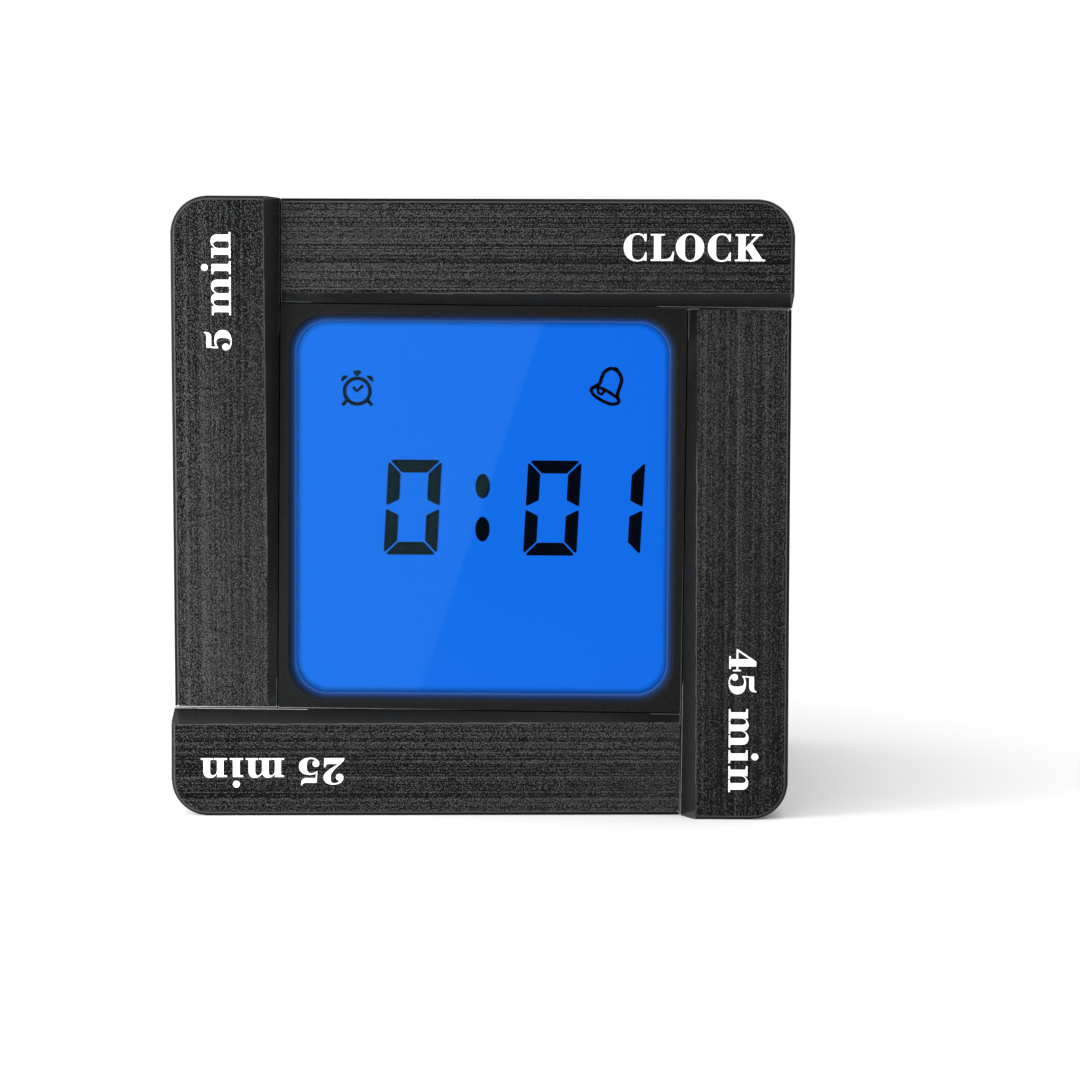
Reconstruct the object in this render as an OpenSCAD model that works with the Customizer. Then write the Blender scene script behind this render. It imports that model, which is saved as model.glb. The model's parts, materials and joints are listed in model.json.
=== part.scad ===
// Flip timer: four wedge-shaped side panels in a pinwheel round a square display.
// Each side stands for one function, and two ball switches sense which side is down.
// The timer stands on its bottom panel, display towards -Y, origin at the middle of the base.

/* [Case] */
// Overall depth, from the raised corners to the back
case_d = 56; // [54:0.5:70]
// Room beside the battery tub
side_room = 2.1; // [1.6:0.1:6]
// Radius of the four long corners
corner_r = 3.7; // [3.2:0.1:5]
// Thickness of the panel walls
wall = 2.4; // [2:0.1:2.6]
// Chamfer along the outer front edges
edge = 0.35; // [0.2:0.05:0.6]
// Parting gap beside each panel
part_gap = 0.08; // [0.06:0.01:0.2]
// Clearance of the pieces that sit between the walls
fit = 0.15; // [0.1:0.05:0.25]

/* [Pinwheel] */
// Rise of a panel's corner end over the bezel
raise = 2.4; // [1.6:0.1:3]
// Width of a panel's face at its raised end
face_high = 9.3; // [8.6:0.1:9.8]
// Width of a panel's face at its flush end
face_low = 9.5; // [8.6:0.1:9.9]
// Width of the ramp beside it at the raised end
ramp_high = 1.36; // [0.8:0.02:1.8]
// Width of the ramp at the flush end
ramp_low = 0.86; // [0.6:0.02:1.4]
// Thickness of the panel's lip beside the bezel
lip_t = 1.6; // [1.2:0.1:2.2]
// Strips that the twisted ramp is made of
ramp_steps = 12; // [4:1:16]
// Strips of the chamfer round a corner
corner_steps = 8; // [4:1:12]
// Thickness of the tongue that laps the next panel
tongue_t = 1.2; // [0.8:0.1:1.6]
// Reach of that tongue past the parting gap
tongue_l = 3.5; // [2:0.5:5]

/* [Display] */
// Flat strip of the bezel round its opening
rim = 0.9; // [0.4:0.01:1.2]
// Corner radius of the lit window
window_r = 3.2; // [2:0.1:5]
// Width of the bevel round the window
bevel_w = 0.66; // [0.4:0.02:1]
// Thickness of the bezel's base plate
base_t = 1.8; // [1.4:0.1:2.6]
// Thickness of the clear window
window_t = 1.2; // [0.8:0.1:1.2]
// Margin of the liquid crystal cell beside the window
lcd_side = 3.1; // [2.6:0.1:3.4]
// Margin of the cell above and below the window
lcd_end = 4.6; // [4:0.1:4.8]
// Depth of the cell's contact ledges
lcd_ledge = 2.5; // [2.2:0.1:3]
// Thickness of one glass
glass_t = 1; // [0.7:0.1:1.2]
// Thickness of the light guide
guide_t = 3.2; // [2.4:0.1:4]

/* [Electronics] */
// Thickness of the circuit boards
board_t = 1.6; // [1:0.2:2]
// Diameter of the ball in a tilt switch
ball_d = 4; // [3:0.1:4.2]
// Roll of the ball from end to end
ball_travel = 4; // [2:0.5:6]
// Diameter of the buzzer's brass disc
buzzer_d = 12.6; // [10:0.1:12.8]

/* [Battery] */
// Diameter of a cell
cell_d = 10.5; // [9.5:0.1:10.8]
// Length of a cell with its button
cell_l = 44.5; // [40:0.5:45]
// Length of a contact spring under load
spring_l = 5.3; // [4.5:0.1:5.6]
// Diameter of the spring's wire
spring_wire = 0.6; // [0.4:0.05:0.65]
// Turns of the spring
spring_turns = 4; // [3:1:4]
// Thickness of the battery door
door_t = 1.6; // [1.4:0.1:1.6]

/* [Controls] */
// Diameter of a push button
button_d = 7; // [5:0.5:7.5]
// Travel of a push button
button_travel = 0.6; // [0.3:0.1:0.8]
// Room between a button's collar and the posts beside it
key_room = 0.6; // [0.3:0.1:1.2]
// Travel of the sound switch
switch_travel = 4; // [2:0.5:5]

/* [Fasteners] */
// Diameter of the screws
screw_d = 2; // [1.6:0.1:2.2]
// Diameter of their heads
head_d = 3.6; // [3:0.1:3.8]

/* [Hidden] */
$fn = 48;
CUT = 1;  // how far a cutting tool stands proud

// battery tub
door_set = 0.3;
door_gap = 0.25;
ledge = 0.8;
tub_wall = 1.2;
cell_play = 0.35;
contact_t = 0.4;
cover_t = door_set + door_t + 0.1;
tub_half_u = (cell_l + spring_l) / 2 + contact_t;
tub_half_v = cell_d + 1.5 * cell_play + 0.05;
tub_out_v = tub_half_v + tub_wall;

// rows on the back: posts, battery tub, sounder, buttons
post_d = 5;
post_in = 3.4;
tub_room = 1.15;
ring_room = 0.4;
flange_room = 0.8;
top_room = 1.5;
buzzer_rim = 0.7;
flange_w = 0.8;
key_row = 9.2;
ring_r = buzzer_d / 2 + buzzer_rim;
flange_r = button_d / 2 + flange_w;
tub_low = post_in + post_d / 2 + tub_room;
stack = tub_low + 2 * tub_out_v + ring_room + 2 * ring_r + flange_room + flange_r + key_row / 2 + top_room;

// square case, wide enough for a cell with its spring and high enough for the rows
inner = max(tub_half_u + tub_wall + side_room, stack / 2);
H = inner + wall;
case_w = 2 * H;
inner_r = corner_r - wall;
back_w = raise - case_d;  // back plane, measured from the bezel plane towards the viewer
tub_v = tub_low + tub_out_v - inner;
low_v = tub_v + tub_out_v + ring_room + ring_r;
key_v = low_v + ring_r + flange_room + flange_r;

// pinwheel
foot_high = face_high + ramp_high;
foot_low = face_low + ramp_low;
far_u = -H + foot_high + part_gap;
wedge = atan(raise / (H - far_u));
foot_turn = atan((foot_high - foot_low) / (H - far_u));
block_half = H - (foot_high + foot_low) / 2 - part_gap;

// levels behind the bezel plane
base_w = -lip_t;
base_back = base_w - base_t;
window_back = base_w - window_t;
cell_front = base_back;
cell_back = cell_front - 2 * glass_t;
sheet_t = 0.3;
guide_back = cell_back - guide_t;
main_front = guide_back - sheet_t;
main_back = main_front - board_t;

// window and bezel
window_h = block_half - rim - bevel_w;
bezel_lip = 0.3;
bevel_d = lip_t - bezel_lip;
pocket_half = window_h + 1.6;
pocket_r = window_r + 1.6;
window_half = pocket_half - 0.1;

// display holder
lcd_w = 2 * (window_h + lcd_side);
lcd_h = 2 * (window_h + lcd_end);
lcd_rear_h = lcd_h - 2 * lcd_ledge;
holder_wall = 1.2;
holder_in_u = lcd_w / 2 + fit;
holder_in_v = lcd_h / 2 + fit;
led_t = 1;
led_l = 3;
led_h = 2.4;
led_v = 10;
led_u = holder_in_u - fit - led_t / 2;
guide_u = led_u - led_t / 2 - 0.1;
guide_v = lcd_rear_h / 2 - 0.2;
zebra_t = 1.8;
zebra_v = (lcd_rear_h + lcd_h) / 4;
main_half = inner - 1.1;

// fastenings
pilot_d = screw_d + 0.05;
clear_d = screw_d + 0.3;
head_h = 1.4;
panel_screw_p = inner - 2.6;
panel_grip = 2.4;
stand_d = 4;
stand_u = holder_in_u + holder_wall + 0.6 + stand_d / 2;
stand_v = 12;
stand_grip = 4.5;
key_grip = 4.5;
post_p = inner - post_in;
post_l = 12;
cover_grip = 8;
blind = 0.5;  // how much deeper a screw's hole is than the screw
web_t = 1.2;

// levels in front of the back plane
cover_boss = 1.2;
cover_boss_d = 5.6;
cell_axis_d = door_set + door_t + 0.3 + cell_d / 2;
tub_floor_d = cell_axis_d + cell_d / 2 + 0.15;
opening_u = tub_half_u + ledge;
opening_v = tub_half_v + ledge;
barrel_r = door_t / 2;
hinge_d = door_set + barrel_r;
hinge_v = tub_v + opening_v - door_gap - barrel_r;
pin_d = 1.2;
pin_l = 1.1;
cell_v = (cell_d + cell_play) / 2;

// controls behind the cover
button_set = 0.4;
flange_t = 0.8;
button_gap = 0.25;
flange_d0 = cover_t + 0.2;
plunger_d = 3.4;
plunger_top = flange_d0 + flange_t + 0.4;
plunger_l = 2.1;
tact_w = 6;
tact_top = plunger_top + 1.1;
key_rear = tact_top + 3.5;
key_front = key_rear + board_t;
key_post_d = 4.2;
button_pitch = 2 * (flange_r + key_room + key_post_d / 2);
switch_u = 12;
knob_l = 4;
knob_v = 3.4;
knob_t = 0.9;
knob_set = 0.5;
lever_u = 2;
lever_v = 2.2;
slide_gap = 0.3;
switch_top = key_rear - 4;
buzzer_u = -12;
buzzer_seat = 0.8;
buzzer_t = 0.3;

// tilt switches on the back of the main circuit board
tilt_u = 13;
tilt_v = 14;
tilt_wall = 0.4;
ball_side = 0.2;
ball_gap = 0.1;
tilt_d = ball_d + 2 * (ball_side + tilt_wall);
plug_t = 1.5;
tilt_cavity = ball_d + ball_travel + 2 * ball_gap;
tilt_w = main_back - tilt_d / 2 - 0.05;

// flat cable and leads
ribbon_w = 6;
ribbon_t = 0.6;
ribbon_slack = 4;
header_h = 2.5;
header_w = 7;
header_v = 3;
lead_d = 1.2;
tail_l = lead_d + 0.3;
lead_pad_u = main_half - 2.1;
wire_d = 0.8;
wire_pad = 2.2;
wire_bow = 2.4;
wire_turn = 1.2;

// Height of a panel's face over the bezel plane at one place along it
function rise_at(u) = raise * (u - far_u) / (H - far_u);

// A value that runs from the flush end to the raised end
function along(low, high, u) = low + (high - low) * (u - far_u) / (H - far_u);

// Level at a distance in front of the back plane
function from_back(d) = back_w + d;

// Point on a cubic curve through four control points
function bezier(p, t) = pow(1 - t, 3) * p[0] + 3 * t * pow(1 - t, 2) * p[1]
    + 3 * t * t * (1 - t) * p[2] + pow(t, 3) * p[3];

function unit(v) = v / norm(v);

// Triangles of a skin over rings of the same count, closed at both ends
function skin(rings, sides) = concat(
    [for (i = [0 : rings - 2], k = [0 : sides - 1], half = [0, 1])
        let (a = i * sides + k, b = i * sides + (k + 1) % sides)
            half == 0 ? [a, b, b + sides] : [a, b + sides, a + sides]],
    [for (k = [1 : sides - 2]) [0, k + 1, k]],
    [for (k = [1 : sides - 2]) let (e = (rings - 1) * sides) [e, e + k, e + k + 1]]);

// Puts a shape drawn on the front, seen from the viewer, in its place in the timer
module on_front() {
    translate([0, raise - case_d / 2, H]) rotate([90, 0, 0]) children();
}

// Square with round corners, drawn flat
module rounded(half, r) {
    square([2 * half, 2 * (half - r)], center = true);
    square([2 * (half - r), 2 * half], center = true);
    for (x = [-1, 1], y = [-1, 1])
        translate([x * (half - r), y * (half - r)]) circle(r);
}

// Rounded plate between two levels
module plate(half, r, low, high) {
    translate([0, 0, low]) linear_extrude(high - low) rounded(half, r);
}

// Block with its middle on a point of the front, between two levels
module block(u, v, wide, tall, low, high) {
    translate([u - wide / 2, v - tall / 2, low]) cube([wide, tall, high - low]);
}

// Post or hole between two levels
module rod(u, v, d, low, high) {
    translate([u, v, low]) cylinder(d = d, h = high - low);
}

// Four copies round the middle of the front
module pinwheel() {
    for (turn = [0 : 90 : 270]) rotate(turn) children();
}

// Frame that lies on the sloping face of the upper panel
module on_slope(u, v) {
    translate([u, v, rise_at(u)]) rotate([0, -wedge, 0]) children();
}

// Cuts away everything in front of the twisted ramp along a panel's inner edge
module ramp_cut() {
    past = 0.3;
    sky = 2 * raise + CUT;
    stations = [for (i = [0 : ramp_steps])
        far_u - past + i * (H - far_u + 2 * past) / ramp_steps];
    points = [for (u = stations)
        let (top = H - along(face_low, face_high, u), foot = H - along(foot_low, foot_high, u),
             rise = rise_at(u), over = rise * past / (top - foot))
        each [[u, top + past, rise + over], [u, foot - past, -over],
              [u, foot - past, sky], [u, top + past, sky]]];
    polyhedron(points, skin(ramp_steps + 1, 4));
}

// Cuts the sloping face
module face_cut() {
    on_slope(far_u, 0) translate([-CUT, inner - foot_high, 0])
        cube([case_w, foot_high + wall + CUT, raise + 2 * CUT]);
}

// Cuts the chamfer of the outer edge, along the side and round the corner
module edge_cut() {
    c = H - corner_r;
    stations = concat(
        [[[far_u - CUT, H], [0, 1]]],
        [for (i = [0 : corner_steps]) let (a = 90 - 90 * i / corner_steps, out = [cos(a), sin(a)])
            [[c, c] + corner_r * out, out]],
        [[[H, H - foot_high - CUT], [1, 0]]]);
    points = [for (s = stations, k = [[-edge - CUT, CUT], [CUT, CUT], [CUT, -edge - CUT]])
        let (p = s[0] + k[0] * s[1]) [p.x, p.y, rise_at(s[0].x) + k[1]]];
    polyhedron(points, skin(len(stations), 3));
}

// The upper side panel: long wall, short wall round the corner and sloping face
module panel() {
    tongues = [from_back(case_d * 0.34), from_back(case_d * 0.6)];
    tongue_h = 8;
    root = 3;
    spare = CUT / 2;
    difference() {
        union() {
            translate([0, 0, back_w]) linear_extrude(case_d + spare) intersection() {
                difference() {
                    rounded(H, corner_r);
                    rounded(inner, inner_r);
                }
                translate([far_u, H - foot_high]) square([H - far_u, foot_high]);
            }
            translate([0, 0, base_w]) linear_extrude(lip_t + raise + spare) intersection() {
                rounded(H, corner_r);
                polygon([[far_u, H - foot_low], [H, H - foot_high], [H, H], [far_u, H]]);
            }
            post_low = from_back(cover_t + cover_boss);
            rod(post_p, post_p, post_d, post_low, post_low + post_l);
            for (side = [0, 1]) mirror([side, -side, 0])
                translate([post_p, post_p - web_t / 2, post_low])
                    cube([inner - post_p + wall / 2, web_t, post_l]);
            for (low = tongues) {
                block(far_u + (root - tongue_l) / 2, inner - fit - tongue_t / 2,
                      tongue_l + root, tongue_t, low, low + tongue_h);
                block(far_u + root / 2, inner, root, 2 * fit + tongue_t, low, low + tongue_h);
            }
        }
        face_cut();
        edge_cut();
        ramp_cut();
        rod(post_p, post_p, pilot_d, back_w, from_back(cover_t + cover_boss) + post_l - 1);
        rod(panel_screw_p, panel_screw_p, pilot_d, base_w - CUT, base_w + panel_grip + blind / 2);
    }
}

module clock_panel() {
    color([0.16, 0.16, 0.16]) on_front() panel();
}

module five_minute_panel() {
    color([0.18, 0.18, 0.18]) on_front() rotate(90) panel();
}

module twenty_five_minute_panel() {
    color([0.16, 0.16, 0.16]) on_front() rotate(180) panel();
}

module forty_five_minute_panel() {
    color([0.18, 0.18, 0.18]) on_front() rotate(270) panel();
}

// Glossy frame of the display, on a plate that carries the panels and the electronics
module front_bezel() {
    color([0.06, 0.06, 0.06]) on_front() difference() {
        union() {
            plate(inner - fit, inner_r, base_back, base_w);
            rotate(-foot_turn) block(0, 0, 2 * block_half, 2 * block_half, base_w - base_t / 2, 0);
            for (x = [-1, 1], y = [-1, 1])
                rod(x * stand_u, y * stand_v, stand_d, main_front, base_w);
        }
        plate(pocket_half, pocket_r, base_back - CUT, base_w);
        plate(window_h, window_r, base_w - CUT, CUT);
        hull() {
            plate(window_h, window_r, -bevel_d, -bevel_d + 0.01);
            plate(window_h + bevel_w, window_r + bevel_w, 0, 0.01);
        }
        for (x = [-1, 1], y = [-1, 1])
            rod(x * stand_u, y * stand_v, pilot_d, main_front - CUT, main_front + stand_grip + blind);
        pinwheel() rod(panel_screw_p, panel_screw_p, clear_d, base_back - CUT, base_w + CUT);
    }
}

// Clear window behind the bezel
module display_window() {
    color([0.75, 0.85, 0.95, 0.4]) on_front()
        plate(window_half, pocket_r - 0.1, window_back, base_w);
}

// Foam ring between the window and the cell
module window_gasket() {
    color([0.1, 0.1, 0.1]) on_front() difference() {
        plate(window_half, pocket_r - 0.1, base_back, window_back);
        plate(window_h + 0.3, window_r, base_back - CUT, window_back + CUT);
    }
}

// Two glasses of the liquid crystal cell, the front one with the contact ledges
module lcd_glass() {
    color([0.1, 0.42, 0.92]) on_front() {
        block(0, 0, lcd_w, lcd_h, cell_front - glass_t, cell_front);
        block(0, 0, lcd_w, lcd_rear_h, cell_back, cell_front - glass_t);
    }
}

// Edge-lit plate behind the cell
module light_guide() {
    color([0.6, 0.75, 1, 0.8]) on_front()
        block(0, 0, 2 * guide_u, 2 * guide_v, guide_back, cell_back);
}

// White film behind the light guide
module reflector_sheet() {
    color([0.95, 0.95, 0.95]) on_front()
        block(0, 0, 2 * guide_u, 2 * guide_v, main_front, guide_back);
}

// Blue lamps along two edges of the light guide
module backlight_leds() {
    color([0.3, 0.5, 1]) on_front() for (x = [-1, 1], y = [-1, 1])
        block(x * led_u, y * led_v, led_t, led_l, main_front, main_front + led_h);
}

// Frame that keeps the cell, the light guide and the rubber strips together
module lcd_holder() {
    color([0.9, 0.9, 0.88]) on_front() difference() {
        block(0, 0, 2 * (holder_in_u + holder_wall), 2 * (holder_in_v + holder_wall),
              main_front, base_back);
        block(0, 0, 2 * holder_in_u, 2 * holder_in_v, main_front - CUT, base_back + CUT);
    }
}

// Conductive rubber strips from the cell's ledges to the circuit board
module zebra_strips() {
    color([0.85, 0.5, 0.5]) on_front() for (y = [-1, 1])
        block(0, y * zebra_v, lcd_w - 4, zebra_t, main_front, cell_front - glass_t);
}

// Circuit board behind the display
module main_board() {
    color([0.1, 0.4, 0.2]) on_front() difference() {
        plate(main_half, 1, main_back, main_front);
        for (x = [-1, 1], y = [-1, 1])
            rod(x * stand_u, y * stand_v, clear_d, main_back - CUT, main_front + CUT);
    }
}

// Drop of resin over the controller
module controller_chip() {
    cap_r = 9;
    cap_h = 1.6;
    color([0.05, 0.05, 0.05]) on_front() intersection() {
        translate([0, 0, main_back - cap_h + cap_r]) sphere(cap_r);
        block(0, 0, 2 * cap_r, 2 * cap_r, main_back - cap_h, main_back);
    }
}

// Tuning-fork crystal that keeps the time
module crystal() {
    can_d = 2;
    can_l = 6;
    color([0.8, 0.8, 0.8]) on_front()
        translate([9, -can_l / 2, main_back - can_d / 2 - 0.02]) rotate([-90, 0, 0])
            cylinder(d = can_d, h = can_l);
}

// Frame of a tilt switch: z runs up the slanted can from its plug
module on_tilt(side) {
    translate([side * tilt_u, -tilt_v, tilt_w]) rotate([0, 0, -side * 45]) rotate([-90, 0, 0])
        children();
}

// Metal can of a tilt switch, open towards its plug
module tilt_can(side) {
    color([0.8, 0.72, 0.45]) on_front() on_tilt(side) difference() {
        cylinder(d = tilt_d, h = tilt_cavity + tilt_wall);
        translate([0, 0, -CUT]) cylinder(d = tilt_d - 2 * tilt_wall, h = tilt_cavity + CUT);
    }
}

module left_tilt_can() {
    tilt_can(-1);
}

module right_tilt_can() {
    tilt_can(1);
}

// Plug with two pins that the ball bridges when it lies on them
module tilt_plug(side) {
    pin = 0.5;
    color([0.1, 0.1, 0.1]) on_front() on_tilt(side) {
        translate([0, 0, -plug_t]) cylinder(d = tilt_d, h = plug_t);
        for (x = [-1, 1])
            translate([x * ball_d / 3.5, 0, -plug_t - 2.5]) cylinder(d = pin, h = 2.6);
    }
}

module left_tilt_plug() {
    tilt_plug(-1);
}

module right_tilt_plug() {
    tilt_plug(1);
}

// Ball at the lower end of its can
module tilt_ball(side) {
    color([0.85, 0.85, 0.85]) on_front() on_tilt(side)
        translate([0, 0, ball_d / 2 + ball_gap]) sphere(d = ball_d);
}

module left_tilt_ball() {
    tilt_ball(-1);
}

module right_tilt_ball() {
    tilt_ball(1);
}

// Back plate with the battery tub, button holes, switch slot and sound holes
module rear_cover() {
    scoop_r = 8;
    scoop_d = 1.4;
    lug = 3.2;
    color([0.13, 0.13, 0.13]) on_front() difference() {
        union() {
            plate(inner - fit, inner_r, back_w, from_back(cover_t));
            block(0, tub_v, 2 * (tub_half_u + tub_wall), 2 * (tub_half_v + tub_wall),
                  from_back(cover_t / 2), from_back(tub_floor_d + tub_wall));
            pinwheel() rod(post_p, post_p, cover_boss_d, from_back(cover_t / 2),
                           from_back(cover_t + cover_boss));
            for (x = [-1, 1]) {
                block(x * (opening_u + pin_l), hinge_v, 2 * pin_l, lug,
                      from_back(cover_t / 2), from_back(cover_t + cover_boss));
                rod(x * button_pitch / 2, key_v, key_post_d, from_back(cover_t / 2),
                    from_back(key_rear));
            }
            rod(buzzer_u, low_v, 2 * ring_r, from_back(cover_t / 2),
                from_back(cover_t + 2 * buzzer_seat));
        }
        block(0, tub_v, 2 * tub_half_u, 2 * tub_half_v, from_back(cover_t - CUT), from_back(tub_floor_d));
        block(0, tub_v, 2 * opening_u, 2 * opening_v, back_w - CUT, from_back(cover_t));
        translate([-opening_u - pin_l - 0.2, hinge_v, from_back(hinge_d)]) rotate([0, 90, 0])
            cylinder(d = pin_d + 2 * fit, h = 2 * (opening_u + pin_l + 0.2));
        translate([0, tub_v - opening_v, from_back(scoop_d - scoop_r)]) sphere(scoop_r);
        for (y = [-1, 1])
            block(tub_half_u + tub_wall / 2, tub_v + y * cell_v, 2 * tub_wall, 2.4,
                  from_back(cell_axis_d - 0.4), from_back(cell_axis_d + 0.4));
        pinwheel() {
            rod(post_p, post_p, clear_d, back_w - CUT, from_back(cover_t + cover_boss + CUT));
            rod(post_p, post_p, head_d + 0.6, back_w - CUT, from_back(head_h + 0.2));
        }
        for (i = [-1 : 1])
            rod(i * button_pitch, key_v, button_d + 2 * button_gap, back_w - CUT, from_back(cover_t + CUT));
        for (x = [-1, 1])
            rod(x * button_pitch / 2, key_v, pilot_d, from_back(key_rear - key_grip - blind),
                from_back(key_rear + CUT));
        block(switch_u, low_v, knob_l + switch_travel + 2 * slide_gap, knob_v + 2 * slide_gap,
              back_w - CUT, from_back(knob_set + knob_t + 0.1));
        block(switch_u, low_v, lever_u + switch_travel + 2 * slide_gap, lever_v + 2 * slide_gap,
              back_w - CUT, from_back(cover_t + CUT));
        rod(buzzer_u, low_v, buzzer_d - 1.6, from_back(cover_t), from_back(cover_t + 3));
        rod(buzzer_u, low_v, buzzer_d + 0.2, from_back(cover_t + buzzer_seat), from_back(cover_t + 3));
        rod(buzzer_u, low_v, 1.2, back_w - CUT, from_back(cover_t + CUT));
        for (turn = [0 : 60 : 300]) translate([buzzer_u, low_v, 0]) rotate(turn)
            rod(2.8, 0, 1.2, back_w - CUT, from_back(cover_t + CUT));
    }
}

// Hinged door over the cells, with a springy tongue and a bead that holds it shut
module battery_door() {
    low_edge = tub_v - opening_v + door_gap;
    half_u = opening_u - door_gap;
    tongue_half = 5;
    slot = 0.7;
    tongue_run = 6;
    color([0.15, 0.15, 0.15]) on_front() difference() {
        union() {
            translate([-half_u, low_edge, from_back(door_set)])
                cube([2 * half_u, hinge_v - low_edge, door_t]);
            translate([-half_u, hinge_v, from_back(hinge_d)]) rotate([0, 90, 0])
                cylinder(r = barrel_r, h = 2 * half_u);
            translate([-half_u - pin_l, hinge_v, from_back(hinge_d)]) rotate([0, 90, 0])
                cylinder(d = pin_d, h = 2 * (half_u + pin_l));
            translate([-tongue_half, low_edge, from_back(hinge_d)]) rotate([0, 90, 0])
                cylinder(r = door_gap - 0.1, h = 2 * tongue_half);
        }
        for (x = [-1, 1])
            block(x * (tongue_half + slot / 2), low_edge, slot, 2 * tongue_run,
                  from_back(door_set) - CUT, from_back(door_set + door_t) + CUT);
        for (i = [1 : 3])
            block(0, low_edge + 1.2 * i, 2 * tongue_half - 2, 0.5,
                  from_back(door_set) - CUT, from_back(door_set + 0.3));
    }
}

// Cell with its button end towards +u when facing is 1
module cell(v, facing) {
    button_l = 1;
    shoulder = 0.6;
    profile = [[0, 0], [cell_d / 2 - shoulder, 0], [cell_d / 2, shoulder],
        [cell_d / 2, cell_l - button_l - shoulder], [cell_d / 2 - shoulder, cell_l - button_l],
        [1.9, cell_l - button_l], [1.9, cell_l], [0, cell_l]];
    translate([facing * (tub_half_u - contact_t - cell_l), v, from_back(cell_axis_d)])
        rotate([0, facing * 90, 0]) rotate_extrude() polygon(profile);
}

module upper_cell() {
    color([0.75, 0.6, 0.2]) on_front() cell(tub_v + cell_v, 1);
}

module lower_cell() {
    color([0.75, 0.6, 0.2]) on_front() cell(tub_v - cell_v, -1);
}

// Contact plates at the ends of the tub, two with tails and one that bridges the cells
module cell_contacts() {
    plate_v = cell_d - 1.5;
    plate_d = 9;
    low = from_back(cell_axis_d) - plate_d / 2;
    color([0.85, 0.85, 0.82]) on_front() {
        for (y = [-1, 1]) {
            block(tub_half_u - contact_t / 2, tub_v + y * cell_v, contact_t, plate_v, low, low + plate_d);
            block(tub_half_u + (tub_wall + tail_l) / 2, tub_v + y * cell_v, tub_wall + tail_l, 2,
                  from_back(cell_axis_d) - contact_t / 2, from_back(cell_axis_d) + contact_t / 2);
        }
        block(-tub_half_u + contact_t / 2, tub_v, contact_t, plate_v + 2 * cell_v, low, low + plate_d);
    }
}

// Point on the axis of a contact spring's wire, from its plate towards the cell
function spring_point(t) =
    let (r = 3.8 - 1.6 * t, a = 360 * spring_turns * t, ends = spring_wire / 2 + 0.03)
        [r * cos(a), r * sin(a), ends + t * (spring_l - 2 * ends)];

// Tapered coil of a contact spring, as one tube
module spring() {
    per_turn = 12;
    sides = 6;
    count = per_turn * spring_turns;
    rings = [for (i = [0 : count])
        let (t = i / count, a = 360 * spring_turns * t, p = spring_point(t))
            [for (k = [0 : sides - 1]) let (b = -360 * k / sides)
                p + spring_wire / 2 * (cos(b) * [cos(a), sin(a), 0] + sin(b) * [0, 0, 1])]];
    polyhedron([for (ring = rings) each ring], skin(count + 1, sides));
}

// Least gap between neighbouring turns of the spring, measured on points of its axis
spring_samples = [for (i = [0 : 48]) i / 48];
spring_gap = min([for (a = spring_samples, b = spring_samples)
    if ((b - a) * spring_turns > 0.6) norm(spring_point(a) - spring_point(b))]) - spring_wire;
echo(spring_gap = spring_gap);

// Springs that press on the flat ends of the two cells
module cell_springs() {
    color([0.8, 0.8, 0.8]) on_front() for (facing = [-1, 1])
        translate([-facing * (tub_half_u - contact_t), tub_v + facing * cell_v, from_back(cell_axis_d)])
            rotate([0, facing * 90, 0]) spring();
}

// Brass disc of the sounder, in its ring behind the sound holes
module buzzer_disc() {
    color([0.8, 0.65, 0.25]) on_front()
        rod(buzzer_u, low_v, buzzer_d, from_back(cover_t + buzzer_seat),
            from_back(cover_t + buzzer_seat + buzzer_t));
}

// Ceramic layer on the brass disc
module buzzer_ceramic() {
    level = cover_t + buzzer_seat + buzzer_t;
    color([0.9, 0.9, 0.85]) on_front()
        rod(buzzer_u, low_v, buzzer_d - 3.6, from_back(level), from_back(level + 0.2));
}

// Small circuit board behind the buttons, with a tab for the sound switch
module key_board() {
    row_half = button_pitch + 5;
    tab_low = low_v - 4;
    color([0.1, 0.4, 0.2]) on_front() difference() {
        union() {
            block(0, key_v, 2 * row_half, key_row, from_back(key_rear), from_back(key_front));
            block(switch_u, (key_v + tab_low) / 2, 12, key_v - tab_low,
                  from_back(key_rear), from_back(key_front));
        }
        for (x = [-1, 1])
            rod(x * button_pitch / 2, key_v, clear_d, from_back(key_rear) - CUT, from_back(key_front) + CUT);
    }
}

// Bodies of the three click switches under the buttons
module key_switches() {
    well = tact_top + plunger_l - (tact_top - plunger_top) + button_travel + 0.3;
    color([0.2, 0.2, 0.2]) on_front() for (i = [-1 : 1]) difference() {
        block(i * button_pitch, key_v, tact_w, tact_w, from_back(tact_top), from_back(key_rear));
        rod(i * button_pitch, key_v, plunger_d + 0.3, from_back(tact_top) - CUT, from_back(well));
    }
}

// Plunger of one click switch
module plunger(place) {
    color([0.7, 0.7, 0.7]) on_front()
        rod(place * button_pitch, key_v, plunger_d, from_back(plunger_top), from_back(plunger_top + plunger_l));
}

module set_plunger() {
    plunger(0);
}

module up_plunger() {
    plunger(-1);
}

module down_plunger() {
    plunger(1);
}

// Push button: domed cap, collar behind the cover and stem on its plunger
module button(place) {
    crown = 0.3;
    profile = [[0, button_set - crown], [button_d / 4, button_set - crown * 0.8],
        [button_d / 2 - crown, button_set], [button_d / 2, button_set + crown],
        [button_d / 2, flange_d0], [flange_r, flange_d0],
        [flange_r, flange_d0 + flange_t], [plunger_d / 2, flange_d0 + flange_t],
        [plunger_d / 2, plunger_top], [0, plunger_top]];
    color([0.1, 0.1, 0.1]) on_front() translate([place * button_pitch, key_v, back_w])
        rotate_extrude() polygon(profile);
}

module set_button() {
    button(0);
}

module up_button() {
    button(-1);
}

module down_button() {
    button(1);
}

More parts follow.
